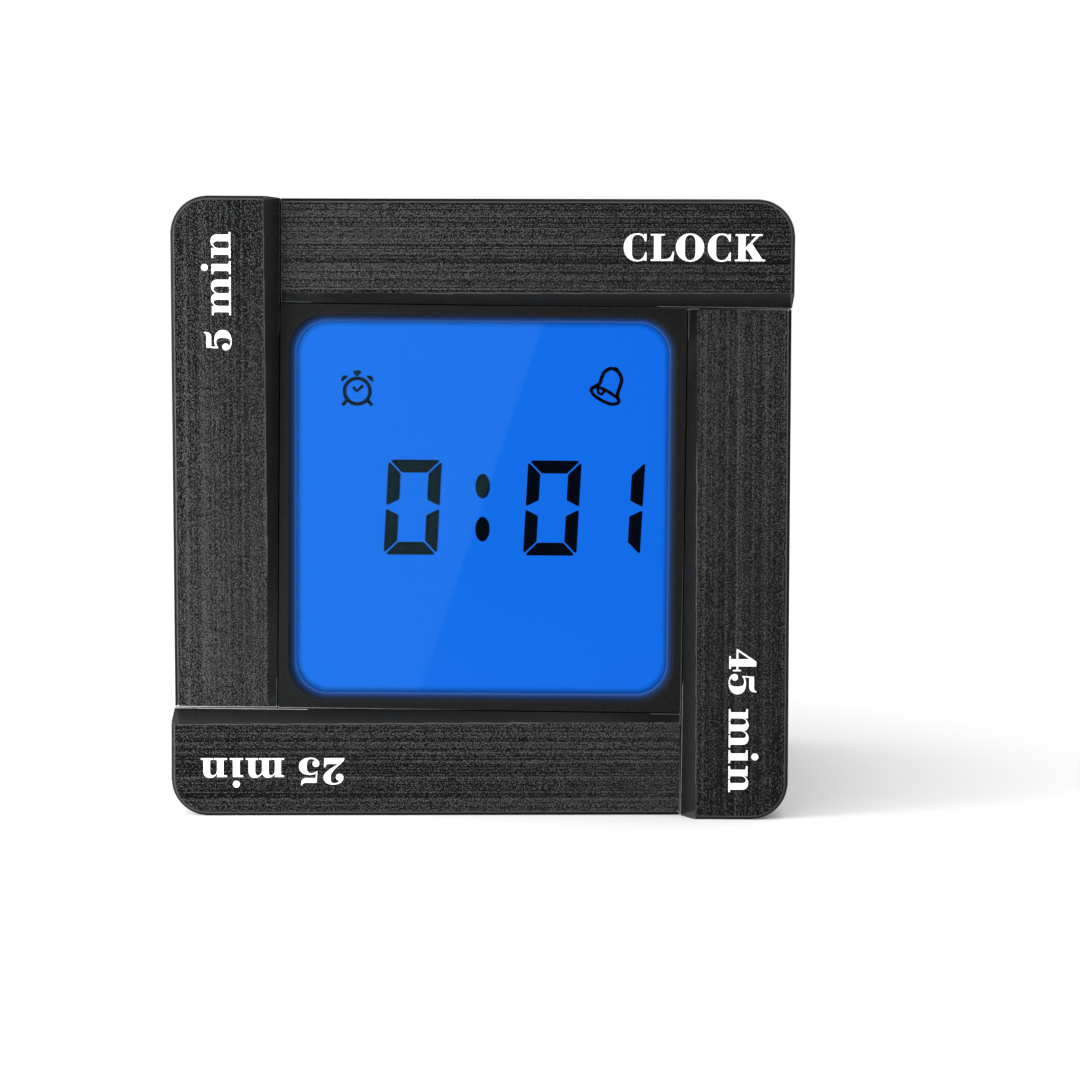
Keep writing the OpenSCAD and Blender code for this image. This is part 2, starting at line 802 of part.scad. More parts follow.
// Body of the sound switch on the key board
module sound_switch() {
    color([0.75, 0.75, 0.75]) on_front() difference() {
        block(switch_u, low_v, switch_travel + 7, 5, from_back(switch_top), from_back(key_rear));
        block(switch_u, low_v, lever_u + switch_travel + 2 * slide_gap, lever_v + 2 * slide_gap,
              from_back(switch_top) - CUT, from_back(switch_top + 2));
    }
}

// Sliding knob of the sound switch: ribbed pad in the cover's recess and lever into the switch
module sound_knob() {
    u = switch_u - switch_travel / 2;
    pad_back = knob_set + knob_t;
    color([0.6, 0.6, 0.6]) on_front() {
        difference() {
            block(u, low_v, knob_l, knob_v, from_back(knob_set), from_back(pad_back));
            for (i = [-1 : 1])
                block(u + 1.1 * i, low_v, 0.5, knob_v + CUT,
                      from_back(knob_set) - CUT, from_back(knob_set + 0.35));
        }
        block(u, low_v, lever_u, lever_v, from_back(pad_back), from_back(switch_top + 1.6));
    }
}

// Flat cable from the key board to the main circuit board
module ribbon_cable() {
    low = from_back(key_front + header_h);
    high = main_back - header_h;
    steps = 24;
    path = [for (i = [0 : steps]) let (t = i / steps)
        [key_v - ribbon_slack * pow(sin(180 * t), 2), low + t * (high - low)]];
    color([0.75, 0.75, 0.78]) on_front() translate([-ribbon_w / 2, 0, 0]) rotate([90, 0, 90])
        linear_extrude(ribbon_w) polygon(concat(
            [for (p = path) p + [ribbon_t / 2, 0]],
            [for (i = [steps : -1 : 0]) path[i] - [ribbon_t / 2, 0]]));
}

// Sockets at both ends of the flat cable
module ribbon_headers() {
    color([0.95, 0.95, 0.9]) on_front() {
        block(0, key_v, header_w, header_v, from_back(key_front), from_back(key_front + header_h));
        block(0, key_v, header_w, header_v, main_back - header_h, main_back);
    }
}

// Round lead along a cubic curve, as one tube
module lead(p, d, rings) {
    sides = 8;
    tube = [for (i = [0 : rings - 1])
        let (t = i / (rings - 1), here = bezier(p, t),
             way = unit(bezier(p, t + 0.01) - bezier(p, t - 0.01)),
             across = unit(cross(way, [0, 1, 0.2])), over = cross(way, across))
            [for (k = [0 : sides - 1]) let (a = -360 * k / sides)
                here + d / 2 * (cos(a) * across + sin(a) * over)]];
    polyhedron([for (ring = tube) each ring], skin(rings, sides));
}

// Leads from the tails of the contact plates to the main circuit board
module battery_leads() {
    tail_u = tub_half_u + tub_wall + tail_l / 2;
    start_w = from_back(cell_axis_d) + contact_t / 2;
    middle_w = (start_w + main_back) / 2;
    color([0.7, 0.1, 0.1]) on_front() for (y = [-1, 1]) {
        v = tub_v + y * cell_v;
        lead([[tail_u, v, start_w + 0.05], [tail_u, v, middle_w],
              [lead_pad_u, v, middle_w], [lead_pad_u, v, main_back - 0.05]], lead_d, 16);
    }
}

// Leads from the sounder to the key board
module buzzer_leads() {
    start_w = from_back(cover_t + buzzer_seat + buzzer_t + 0.2) + 0.05;
    end_w = from_back(key_rear) - 0.05;
    color([0.7, 0.1, 0.1]) on_front() for (x = [-1, 1]) {
        u = buzzer_u + wire_pad * x;
        end_u = u - wire_turn;
        end_v = key_v - key_row / 2 + wire_d;
        lead([[u, low_v, start_w], [u, low_v, start_w + wire_bow],
              [end_u, end_v, end_w - wire_bow], [end_u, end_v, end_w]], wire_d, 10);
    }
}

// Screw with a pan head; its head lies below the level and its shank runs up
module screw(shank) {
    slot = 0.5;
    difference() {
        rotate_extrude() polygon([[0, -head_h], [head_d / 2 - 0.5, -head_h], [head_d / 2, -head_h + 0.6],
            [head_d / 2, 0], [screw_d / 2, 0], [screw_d / 2, shank - 0.6], [0.2, shank], [0, shank]]);
        for (turn = [0, 90]) rotate(turn) block(0, 0, head_d * 0.6, slot, -head_h - CUT, -head_h + 0.7);
    }
}

module panel_screws() {
    color([0.7, 0.7, 0.7]) on_front() pinwheel()
        translate([panel_screw_p, panel_screw_p, base_back]) screw(base_t + panel_grip);
}

module main_board_screws() {
    color([0.7, 0.7, 0.7]) on_front() for (x = [-1, 1], y = [-1, 1])
        translate([x * stand_u, y * stand_v, main_back]) screw(board_t + stand_grip);
}

module key_board_screws() {
    color([0.7, 0.7, 0.7]) on_front() for (x = [-1, 1])
        translate([x * button_pitch / 2, key_v, from_back(key_front)]) rotate([180, 0, 0])
            screw(board_t + key_grip);
}

module cover_screws() {
    color([0.5, 0.5, 0.5]) on_front() pinwheel()
        translate([post_p, post_p, from_back(head_h + 0.2)])
            screw(cover_t + cover_boss - head_h - 0.2 + cover_grip);
}

clock_panel();
five_minute_panel();
twenty_five_minute_panel();
forty_five_minute_panel();
front_bezel();
display_window();
window_gasket();
lcd_glass();
light_guide();
reflector_sheet();
backlight_leds();
lcd_holder();
zebra_strips();
main_board();
controller_chip();
crystal();
left_tilt_can();
right_tilt_can();
left_tilt_plug();
right_tilt_plug();
left_tilt_ball();
right_tilt_ball();
rear_cover();
battery_door();
upper_cell();
lower_cell();
cell_contacts();
cell_springs();
buzzer_disc();
buzzer_ceramic();
key_board();
key_switches();
set_plunger();
up_plunger();
down_plunger();
set_button();
up_button();
down_button();
sound_switch();
sound_knob();
ribbon_cable();
ribbon_headers();
battery_leads();
buzzer_leads();
panel_screws();
main_board_screws();
key_board_screws();
cover_screws();
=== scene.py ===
"""Flip timer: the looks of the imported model, made as a Blender add-on that is run as a script.

The timer stands on its lower side, the display faces -Y and the frame is in metres.
Drawings on the front are in millimetres: u to the right, v up from the display's middle.
"""

import json
import math
import re

import bmesh
import bpy
from bpy.props import FloatProperty, FloatVectorProperty, PointerProperty
from mathutils import Matrix, Vector


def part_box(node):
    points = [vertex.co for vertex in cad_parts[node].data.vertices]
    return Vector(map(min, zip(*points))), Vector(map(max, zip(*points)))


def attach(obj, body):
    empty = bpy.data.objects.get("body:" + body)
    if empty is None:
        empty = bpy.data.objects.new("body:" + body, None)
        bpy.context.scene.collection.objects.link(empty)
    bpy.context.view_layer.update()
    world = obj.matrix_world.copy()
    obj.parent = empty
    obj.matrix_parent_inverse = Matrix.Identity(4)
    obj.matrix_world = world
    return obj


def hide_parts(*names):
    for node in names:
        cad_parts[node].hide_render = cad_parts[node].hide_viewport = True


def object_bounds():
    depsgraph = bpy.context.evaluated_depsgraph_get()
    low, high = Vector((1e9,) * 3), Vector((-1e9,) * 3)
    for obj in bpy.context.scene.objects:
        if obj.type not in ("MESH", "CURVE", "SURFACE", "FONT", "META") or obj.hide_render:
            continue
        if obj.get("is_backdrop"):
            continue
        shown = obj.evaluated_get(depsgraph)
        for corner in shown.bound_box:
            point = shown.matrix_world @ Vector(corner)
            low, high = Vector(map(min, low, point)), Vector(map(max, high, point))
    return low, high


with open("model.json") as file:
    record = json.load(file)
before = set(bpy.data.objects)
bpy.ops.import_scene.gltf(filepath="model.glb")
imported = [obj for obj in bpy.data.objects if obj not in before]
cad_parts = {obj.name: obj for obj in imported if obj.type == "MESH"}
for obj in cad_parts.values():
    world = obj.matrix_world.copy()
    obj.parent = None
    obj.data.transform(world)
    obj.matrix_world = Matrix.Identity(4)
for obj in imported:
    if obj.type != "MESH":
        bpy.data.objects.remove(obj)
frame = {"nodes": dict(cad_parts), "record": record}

bl_info = {
    "name": "Flip timer",
    "version": (1, 0, 0),
    "blender": (4, 5, 0),
    "location": "View3D > Sidebar > Flip timer",
    "description": "Dresses a gravity timer with grained panels, lettering and a lit display",
    "category": "Object",
}

MM = 0.001
CASE_LOW, CASE_HIGH = (Vector(corner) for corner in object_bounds())
CAD_BOX = [list(CASE_LOW), list(CASE_HIGH)]
FRONT_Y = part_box("front_bezel")[0].y
GLASS_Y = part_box("lcd_glass")[0].y
HALF = (CASE_HIGH.x - CASE_LOW.x) / 2 / MM
MIDDLE_Z = (CASE_LOW.z + CASE_HIGH.z) / 2

# the camera's place in millimetres, fitted to the photograph
CAMERA = Vector((5.893, -249.541, 41.083))

# rays that a card or dome hides from, so that it shows in gloss alone
REFLECTED_ONLY = ("camera", "diffuse", "shadow", "transmission")

# angles between faces: of one plain face, of an edge too slight to round, of an edge that shows
FLAT, SLIGHT, SHARP = (math.radians(turn) for turn in (0.4, 18, 35))

# turns of the four panels round the display, with the axis that their grain follows
PANELS = {
    "clock_panel": (0, 0),
    "five_minute_panel": (90, 2),
    "twenty_five_minute_panel": (180, 0),
    "forty_five_minute_panel": (270, 2),
}

# words on the panels: word, panel, start along it, baseline, size of a hundredth of the cap height
LABELS = {
    "label_clock": ("CLOCK", "clock_panel", 14.01, 24.87, 0.0266),
    "label_five": ("5 min", "five_minute_panel", 15.74, 24.99, 0.0265),
    "label_twenty_five": ("25 min", "twenty_five_minute_panel", 13.68, 25.13, 0.0269),
    "label_forty_five": ("45 min", "forty_five_minute_panel", 13.82, 24.98, 0.0270),
}

# letters of a bold serif face, in hundredths of the cap height: advance and outlines
LETTERS = {
    "C": (101.2, "M85,100L85,74 80,71C77,86 66,97 53,97 38,97 31,87 31,69L31,31C31,13 38,3 53,3 66,3 77,14"
          " 80,30L85.5,33 85.5,1 79,0.5 76,4C68,-1 60,-2.3 50,-2.3 21,-2.3 0,20 0,50 0,80 21,102.3 50,102.3"
          " 60,102.3 68,101 75,96L79,100Z"),
    "L": (93.4, "M0,100L52,100 52,94 43,94C40,94 38,92 38,88L38,6 50,6C68,6 79,16 82,34L87,34 84,0 0,0 0,6"
          " 8,6C11,6 12,8 12,12L12,88C12,92 11,94 8,94L0,94Z"),
    "O": (119, "M53,102.5C82,102.5 106,80 106,50 106,20 82,-2.5 53,-2.5 24,-2.5 0,20 0,50 0,80 24,102.5"
          " 53,102.5ZM53.5,97C42,97 34,88 34,68L34,32C34,12 42,3 53.5,3 65,3 73.5,12 73.5,32L73.5,68C73.5,88"
          " 65,97 53.5,97Z"),
    "K": (112.5, "M2,100L52,100 52,94 43,94C40,94 39,92 39,88L39,50 80,94 61,94 61,100 102,100 102,94 91,94"
          " 63,65 101,8C102,6.5 104,6 106,6L112.5,6 112.5,0 56,0 56,6 69,6 44,45 39,40 39,12C39,8 41,6 44,6"
          "L51,6 51,0 0,0 0,6 8,6C11,6 13,8 13,12L13,88C13,92 11,94 8,94L2,94Z"),
    "2": (93, "M0,0L74.5,0 76,34 70,34C69,26 66,22 58,22L23,22C34,30 45,35 55,43 69,53 77,61 77,74 77,91"
          " 62,100 41,100 18,100 3,90 3,74 3,65 9,59 18,59 26,59 31,65 31,72 31,80 25,84 17,85 22,92 29,95"
          " 37,95 47,95 51,88 51,74 51,58 42,47 27,33 14,22 4,14 0,6Z"),
    "4": (93, "M47,101L63,101 65,99 65,34 77,34C78,38 78,41 78,44L83,44 83,14 78,14C78,18 78,24 77,27L65,27"
          " 65,12C65,8 67,6 70,6L74.5,6 74.5,0 26.5,0 26.5,6 33,6C36,6 38,8 38,12L38,27 0,27 0,31ZM38,34"
          "L10,34 38,76Z"),
    "5": (93, "M10,93L50,93C58,93 63,96 65,103L68,102C69,86 63,75 50,75L13.5,75 12.5,57C18,61 27,63 36,63"
          " 60,63 76,52 76,31 76,11 58,-2 33,-2 13,-2 0,8 0,20 0,28 5,33 12.5,33 20,33 25,28 25,21 25,14"
          " 20,10 15,9 19,4 25,3 31,3 42,3 47,12 47,31 47,48 42,56.5 31,56.5 22,56.5 15,54 10,49L7,50Z"),
    "m": (153, "M0,71L34.4,71 34.4,58C40,68 49,74 60,74 71,74 79,68 81.5,57 88,68 97,74 108,74 123,74"
          " 132.5,66 132.5,50L132.5,12C132.5,8 134.5,6 138,6L143,6 143,0 97,0 97,6 102,6C106,6 108,8 108,12"
          "L108,48C108,60 104,65 98,65 90,65 82,56 82,44L82,12C82,8 84,6 87,6L92.5,6 92.5,0 47,0 47,6 52,6"
          "C56,6 58,8 58,12L58,48C58,60 54,65 48,65 41,65 34.4,57 34.4,45L34.4,12C34.4,8 36.5,6 40,6L44,6"
          " 44,0 0,0 0,6 5,6C9,6 11.6,8 11.6,12L11.6,58C11.6,63 9,65 5,65L0,65Z"),
    "i": (59.6, "M0,71L37.7,71 37.7,12C37.7,8 40,6 43,6L49,6 49,0 0,0 0,6 5,6C9,6 12,8 12,12L12,58C12,63 9,65"
          " 5,65L0,65ZM24.6,111C31.8,111 37.6,105.2 37.6,98 37.6,90.8 31.8,85 24.6,85 17.4,85 11.6,90.8"
          " 11.6,98 11.6,105.2 17.4,111 24.6,111Z"),
    "n": (97, "M0,71L37,71 37,57C43,68 52,74 63,74 78,74 87.5,66 87.5,50L87.5,12C87.5,8 89.5,6 93,6L97,6 97,0"
          " 51,0 51,6 57,6C61,6 63,8 63,12L63,48C63,60 59,65 53,65 44,65 37,56 37,44L37,12C37,8 39,6 43,6"
          "L48,6 48,0 0,0 0,6 6,6C10,6 13,8 13,12L13,58C13,63 10,65 6,65L0,65Z"),
    " ": (38, ""),
}

# display: middles of the digits, and the lit segments of each figure
DIGITS = ((-7.13, "0"), (7.13, "0"), (13.63, "1"))
SEGMENTS = {"0": "tblruw", "1": "ru"}

# share of the radius by which handles of a quarter circle stand off
ROUND = 0.5523

# strokes of the two pictograms: width, closed, points
ALARM_U, ALARM_V = -12.83, 11.8
STROKES = {
    "pictogram_alarm": (
        (0.33, False, ((-0.43, 0.42), (-0.03, 0.0), (0.58, 0.59))),
        (0.37, False, ((-1.02, -0.86), (-1.5, -1.44))),
        (0.37, False, ((1.02, -0.86), (1.5, -1.44))),
    ),
    "pictogram_bell": (
        (0.38, False, ((11.04, 12.21), (11.44, 12.45), (11.86, 12.76), (12.07, 13.34), (12.33, 13.87),
                      (12.75, 14.19), (13.21, 14.26), (13.66, 14.01), (13.98, 13.57), (14.09, 13.09),
                      (13.94, 12.45), (13.74, 11.87), (13.7, 11.39), (13.84, 10.94))),
        (0.35, True, ((11.04, 12.21), (11.18, 11.69), (11.77, 11.22), (12.52, 10.82), (13.26, 10.65),
                      (13.84, 10.94), (13.15, 11.65), (12.4, 12.09), (11.65, 12.36))),
        (0.3, False, ((11.68, 12.2), (11.76, 11.8), (12.06, 11.67), (12.36, 12.0))),
        (0.38, False, ((13.3, 14.32), (13.74, 14.06))),
    ),
}


def length(name, description, default):
    """A length of the object in metres, as a property that shows in scene units."""
    return FloatProperty(name=name, description=description, default=default, unit="LENGTH", precision=5)


def tint(name, description, default):
    """A linear colour as a property."""
    return FloatVectorProperty(name=name, description=description, default=default, size=3,
                               subtype="COLOR", min=0, max=1)


class PanelLook(bpy.types.PropertyGroup):
    rise: length("Rise", "Rise of a panel's corner end", 0.0024)
    far_end: length("Flush end", "Where a panel is flush", -0.02026)
    face_high: length("Face at corner", "Width of the face there", 0.0093)
    face_low: length("Face at flush end", "Width of the face there", 0.0095)
    ramp_high: length("Ramp at corner", "Width of the ramp there", 0.00136)
    ramp_low: length("Ramp at flush end", "Width of the ramp there", 0.00086)
    rounding: length("Rounding", "Width of the rounded edges", 0.00008)
    ink: length("Ink", "Thickness of the printed words", 0.00004)
    dark: tint("Grain, dark", "Colour of the grain's furrows", (0.0, 0.0, 0.0))
    middle: tint("Grain", "Colour between these", (0.015, 0.015, 0.015))
    light: tint("Grain, light", "Colour of the grain's ridges", (0.056, 0.056, 0.056))
    # the rounded edges' tone is paler than the grain's middle tone: a painted edge highlight
    edge: FloatProperty(name="Edges", description="Tone of the rounded edges", default=0.05)
    print_colour: tint("Print", "Colour of the printed words", (0.92, 0.92, 0.92))


class DisplayLook(bpy.types.PropertyGroup):
    digit_width: length("Digit width", "Width of a digit", 0.00547)
    digit_height: length("Digit height", "Height of a digit", 0.00972)
    segment: length("Segment", "Thickness of a segment", 0.00132)
    gap: length("Gap", "Gap at a corner of a digit", 0.00016)
    waist: length("Waist", "Gap at half the height", 0.00027)
    depth: length("Depth", "Thickness of a drawn segment", 0.00004)
    slant: FloatProperty(name="Slant", description="Lean of the digits", default=0.05, subtype="ANGLE")
    opening: length("Opening", "Half of the bezel's opening", 0.01885)
    corner: length("Corner", "Corner radius of that opening", 0.0032)
    # reach of the painted glow on the bezel's bevel
    painted_glow_reach: length("Lip light", "Reach of the light on the bezel", 0.0009)
    # the left colour is brighter than the right: a painted part of the window's gloss
    near: tint("Backlight, left", "Colour at the left", (0.007, 0.168, 0.84))
    far: tint("Backlight, right", "Colour at the right", (0.006, 0.15, 0.815))
    segment_colour: tint("Segment colour", "Colour of a dark segment", (0.0008, 0.0022, 0.006))


class BackLook(bpy.types.PropertyGroup):
    rounding: length("Rounding", "Width of the rounded edges", 0.00012)
    cover: tint("Cover", "Colour of the rear cover and its door", (0.016, 0.016, 0.017))
    button: tint("Button", "Colour of the push buttons", (0.022, 0.022, 0.024))
    knob: tint("Knob", "Colour of the sound switch", (0.2, 0.2, 0.21))
    mark: tint("Mark", "Colour of the marks on the buttons", (0.55, 0.55, 0.56))


class StageLook(bpy.types.PropertyGroup):
    focal_length: FloatProperty(name="Focal length", description="Focal length on a 36 mm sensor, in mm",
                                default=74.128)
    sky: FloatProperty(name="Sky", description="Brightness of the white surroundings", default=1.0)
    sun: FloatProperty(name="Sun", description="Strength of the soft overhead light", default=1.0)
    gloss: FloatProperty(name="Gloss card", description="Brightness of the window's gloss", default=1.35)
    dome: FloatProperty(name="Dome", description="Brightness of the dome in reflections", default=0.6)
    fill: FloatProperty(name="Fill", description="Power of the fill light, in watts", default=0.19)
    floor: tint("Floor", "Colour of the floor", (0.88, 0.88, 0.88))


class TimerLook(bpy.types.PropertyGroup):
    panel: PointerProperty(type=PanelLook)
    display: PointerProperty(type=DisplayLook)
    back: PointerProperty(type=BackLook)
    stage: PointerProperty(type=StageLook)


def look():
    """The settings of this scene's timer."""
    return bpy.context.scene.flip_timer


def maths(operation, swapped=False):
    """A method of a wire that adds a Math node for it and the values after it."""
    def method(wire, *values):
        values = (*values, wire) if swapped else (wire, *values)
        return wire.graph.node("ShaderNodeMath", {"operation": operation}, dict(enumerate(values)))
    return method


class Wire:
    """A socket that takes part in Python expressions; each step adds a Math node."""
    __add__ = __radd__ = maths("ADD")
    __mul__ = __rmul__ = maths("MULTIPLY")
    __sub__ = maths("SUBTRACT")
    __rsub__ = maths("SUBTRACT", swapped=True)
    __abs__ = maths("ABSOLUTE")
    most = maths("MAXIMUM")
    least = maths("MINIMUM")
    root = maths("SQRT")
    sign = maths("SIGN")

    def __init__(self, graph, socket):
        self.graph, self.socket = graph, socket


class Graph:
    """A node tree under construction."""

    def node(self, kind, settings, values, out=0):
        """Adds a node: settings and ramp stops first, then the values or links of its sockets."""
        node = self.tree.nodes.new(kind)
        for name, value in settings.items():
            if name == "stops":
                while len(node.color_ramp.elements) < len(value):
                    node.color_ramp.elements.new(1)
                for element, (place, tone) in zip(node.color_ramp.elements, value):
                    element.position = place
                    element.color = (tone, tone, tone, 1) if isinstance(tone, float) else (*tone, 1)
            else:
                setattr(node, name, value)
        for name, value in values.items():
            self.connect(node.inputs[name], value)
        return Wire(self, node.outputs[out])

    def connect(self, socket, value):
        """Links a wire, or several, to a socket, or sets a plain value on it."""
        if isinstance(value, list):
            for one in value:
                self.connect(socket, one)
        elif isinstance(value, Wire):
            self.tree.links.new(value.socket, socket)
        elif socket.type == "RGBA" and len(value) == 3:
            socket.default_value = (*value, 1)
        else:
            socket.default_value = value


class Finish(Graph):
    """A material under construction: its Principled shader and the nodes that feed it."""

    def __init__(self, name, values):
        self.material = bpy.data.materials.new(name)
        self.material.use_nodes = True
        self.material.cycles.emission_sampling = "NONE"
        self.tree = self.material.node_tree
        self.shader = self.tree.nodes["Principled BSDF"]
        self.feed(values)

    def feed(self, values):
        """Sets or links sockets of the shader, and returns the material."""
        for name, value in values.items():
            self.connect(self.shader.inputs[name], value)
        return self.material

    def place(self, per_mm=(1, 1, 1), spot=None, turn=(0, 0, 0)):
        """Object coordinates or another place, scaled from millimetres and turned."""
        spot = spot or self.node("ShaderNodeTexCoord", {}, {}, "Object")
        return self.node("ShaderNodeMapping", {}, {
            "Vector": spot, "Scale": tuple(k / MM for k in per_mm), "Rotation": turn})

    def axes(self):
        """The three Object coordinates in metres as separate wires."""
        spot = self.node("ShaderNodeTexCoord", {}, {}, "Object")
        return [self.node("ShaderNodeSeparateXYZ", {}, {"Vector": spot}, axis) for axis in "XYZ"]

    def noise(self, per_mm, detail=2.0, roughness=0.5, spot=None, turn=(0, 0, 0)):
        return self.node("ShaderNodeTexNoise", {}, {
            "Vector": self.place(per_mm, spot, turn), "Scale": 1.0, "Detail": detail, "Roughness": roughness})

    def inset(self):
        """Millimetres inwards from the lip of the bezel's opening, a rounded square."""
        display = look().display
        corner = display.corner / MM
        straight = display.opening / MM - corner
        x, _, z = self.axes()
        u = abs(x * (1 / MM)) - straight
        v = abs((z - MIDDLE_Z) * (1 / MM)) - straight
        return corner - (u.most(0) * u.most(0) + v.most(0) * v.most(0)).root() - u.most(v).least(0)

    def range(self, wire, low, high, to_low=0.0, to_high=1.0, curve="LINEAR"):
        return self.node("ShaderNodeMapRange", {"clamp": True, "interpolation_type": curve}, {
            "Value": wire, "From Min": low, "From Max": high, "To Min": to_low, "To Max": to_high})

    def ramp(self, wire, *stops):
        return self.node("ShaderNodeValToRGB", {"stops": stops}, {"Fac": wire})

    def bump(self, wire, depth_mm, strength=1.0):
        return self.node("ShaderNodeBump", {}, {
            "Strength": strength, "Distance": depth_mm * MM, "Height": wire})


def wood_grain(name, along, streak):
    """Black plastic with a moulded wood grain that runs along X (0) or Z (2)."""
    panel = look().panel
    finish = Finish(name, {"Specular IOR Level": 0.3})

    def stretched(slow, fast):
        per_mm = [fast, fast, fast]
        per_mm[along] = slow
        return per_mm

    # streaks keep to the sloping face: its rise along the run of the panel is taken off the depth
    x, y, z = finish.axes()
    v = z - MIDDLE_Z
    climb = panel.rise / (HALF * MM - panel.far_end)
    run = x * v.sign() if along == 0 else v * x.sign() * -1
    spot = finish.node("ShaderNodeCombineXYZ", {}, {"X": x, "Y": y + run * climb, "Z": z})
    bands = finish.noise(stretched(0.004, 1.83), 1, spot=spot)
    streaks = finish.noise(stretched(0.003, 8.31), 0, spot=spot)
    speckle = finish.noise(stretched(8.87, 9.71), 0, turn=(0.5, 0.6, 0.7))
    # painted shading: the grain's colour is paler toward the panel's flush end and darker toward its raised
    # corner end
    painted_shading = finish.range(run, panel.far_end, HALF * MM, 0.04, -0.04)
    height = bands * 0.2 + streaks * streak + speckle + painted_shading - (0.1 + streak * 0.5)
    return finish.feed({
        "Base Color": finish.ramp(height, (0.46, panel.dark), (0.55, panel.middle), (0.66, panel.light)),
        "Roughness": finish.range(run, panel.far_end, HALF * MM, 0.46, 0.35)
        + finish.range(height, 0.4, 0.6, 0.05, -0.05),
        "Normal": finish.bump(height, 0.02, 0.4),
    })


def gloss_black(name, base, rough, specular, rise=0.0):
    """Polished black plastic with faint polishing haze, paler by the height over the bezel as a painted sheen.
    """
    finish = Finish(name, {"Specular IOR Level": specular})
    haze = finish.noise((0.5, 0.5, 0.5), 3)
    dust = finish.noise((9, 9, 9), 1)
    # painted sheen: the colour is paler where the surface stands higher over the bezel
    height = finish.range(finish.axes()[1], FRONT_Y, FRONT_Y - look().panel.rise, 0.0, rise)
    tone = height + finish.range(dust, 0.45, 0.8, base, base * 2)
    return finish.feed({
        "Base Color": finish.ramp(tone * 10, (0.0, 0.0), (1.0, (0.096, 0.1, 0.1))),
        "Roughness": finish.range(haze, 0.3, 0.7, rough * 0.7, rough * 1.4),
    })


def moulded(name, colour, rough, grain=2.2, depth=0.02, metal=0.0, specular=0.5):
    """Plastic, rubber or metal with a fine surface grain and slight unevenness of tone."""
    finish = Finish(name, {"Metallic": metal, "Specular IOR Level": specular})
    fine = finish.noise((grain, grain, grain), 3, 0.6)
    broad = finish.noise((0.08, 0.08, 0.08), 2)
    tone = fine * 0.6 + broad * 0.4
    darker = tuple(c * 0.8 for c in colour)
    lighter = tuple(min(c * 1.2, 1) for c in colour)
    return finish.feed({
        "Base Color": finish.ramp(tone, (0.35, darker), (0.65, lighter)),
        "Roughness": finish.range(tone, 0.3, 0.7, rough * 0.9, min(rough * 1.12, 1)),
        "Normal": finish.bump(fine, depth),
    })


def painted_highlight_edge(name, tone, specular):
    """Rounded moulded edge with painted highlights, paler at the seams under the raised ends of three panels.
    """
    finish = Finish(name, {"Roughness": 0.25, "Specular IOR Level": specular})
    x, y, z = finish.axes()
    v = z - MIDDLE_Z
    front = finish.range(y, FRONT_Y + 2 * MM, FRONT_Y + MM)
    scuff = finish.noise((1.5, 1.5, 1.5), 2)
    # painted highlights: the edge tone is raised along three seams near the front, rising toward one end of
    # each
    seam = 20.4 * MM
    for across, place, along, end, most in ((v, -seam, x, -HALF, 0.5), (v, seam, x, HALF, 0.2),
                                            (x, seam, v, -HALF, 0.2)):
        near = finish.range(abs(across - place), 0.35 * MM, 0.3 * MM)
        tone = tone + front * near * finish.range(along, 0, end * MM, 0, most)
    return finish.feed({"Base Color": finish.ramp(tone * (scuff * 0.4 + 0.8), (0, 0.0), (1, 1.0))})


def backlit():
    """Blue lit display, brighter at the left as a painted part of the window's gloss, dimmer by the bezel's
    lip as painted shade, with faint columns of electrodes.
    """
    display = look().display
    finish = Finish("backlit_display", {"Base Color": (0, 0, 0), "Specular IOR Level": 0.0,
                                        "Roughness": 0.4, "Emission Strength": 1.0})
    cloud = finish.noise((0.03, 0.03, 0.03), 2)
    columns = finish.noise((1.6, 0, 0.01), 1)
    # painted reflection: the backlight is brighter toward the left, standing in for part of the window's gloss
    side = finish.range(finish.axes()[0], display.opening, -display.opening, 0.0, 0.7)
    light = finish.ramp(side + cloud * 0.4 + columns * 0.1, (0.2, display.far), (1.0, display.near))
    inset = finish.inset()
    # painted shade of the bezel's lip: the light fades toward the opening's edge and is off beyond the lip
    shade = finish.range(inset, -0.25, 0.6, 0.36, 1.0, "SMOOTHSTEP") * finish.range(inset, -0.6, -0.4)
    return finish.feed({"Emission Color": finish.node("ShaderNodeVectorMath", {"operation": "SCALE"}, {
        "Vector": light, "Scale": shade})})


def lit_bezel():
    """Polished black frame with a painted glow of the display's light on the bevel of its opening."""
    finish = Finish("polished_bezel", {"Specular IOR Level": 0.06, "Emission Strength": 1.0})
    haze = finish.noise((0.5, 0.5, 0.5), 3)
    dust = finish.noise((9, 9, 9), 1)
    # painted glow: emission on the bevel, blue at the opening's lip and fading outward
    reach = finish.inset() * (-MM / look().display.painted_glow_reach)
    return finish.feed({
        "Base Color": finish.ramp(dust, (0.45, 0.0085), (0.8, 0.016)),
        "Roughness": finish.range(haze, 0.3, 0.7, 0.03, 0.06),
        "Emission Color": finish.ramp(
            reach, (0.0, (0.025, 0.1, 0.38)), (0.08, (0.02, 0.08, 0.31)), (0.14, (0.007, 0.05, 0.21)),
            (0.25, (0.003, 0.034, 0.15)), (0.4, (0.001, 0.018, 0.075)), (0.55, (0.001, 0.01, 0.028)),
            (0.75, (0.001, 0.005, 0.011)), (1.0, 0.0)),
    })


def clear_window():
    """Coated clear plastic."""
    finish = Finish("clear_window", {"Base Color": (1, 1, 1), "Transmission Weight": 1.0, "IOR": 1.2})
    wipe = finish.noise((0.3, 0.3, 0.3), 2)
    return finish.feed({"Roughness": finish.range(wipe, 0.3, 0.7, 0.0, 0.012)})


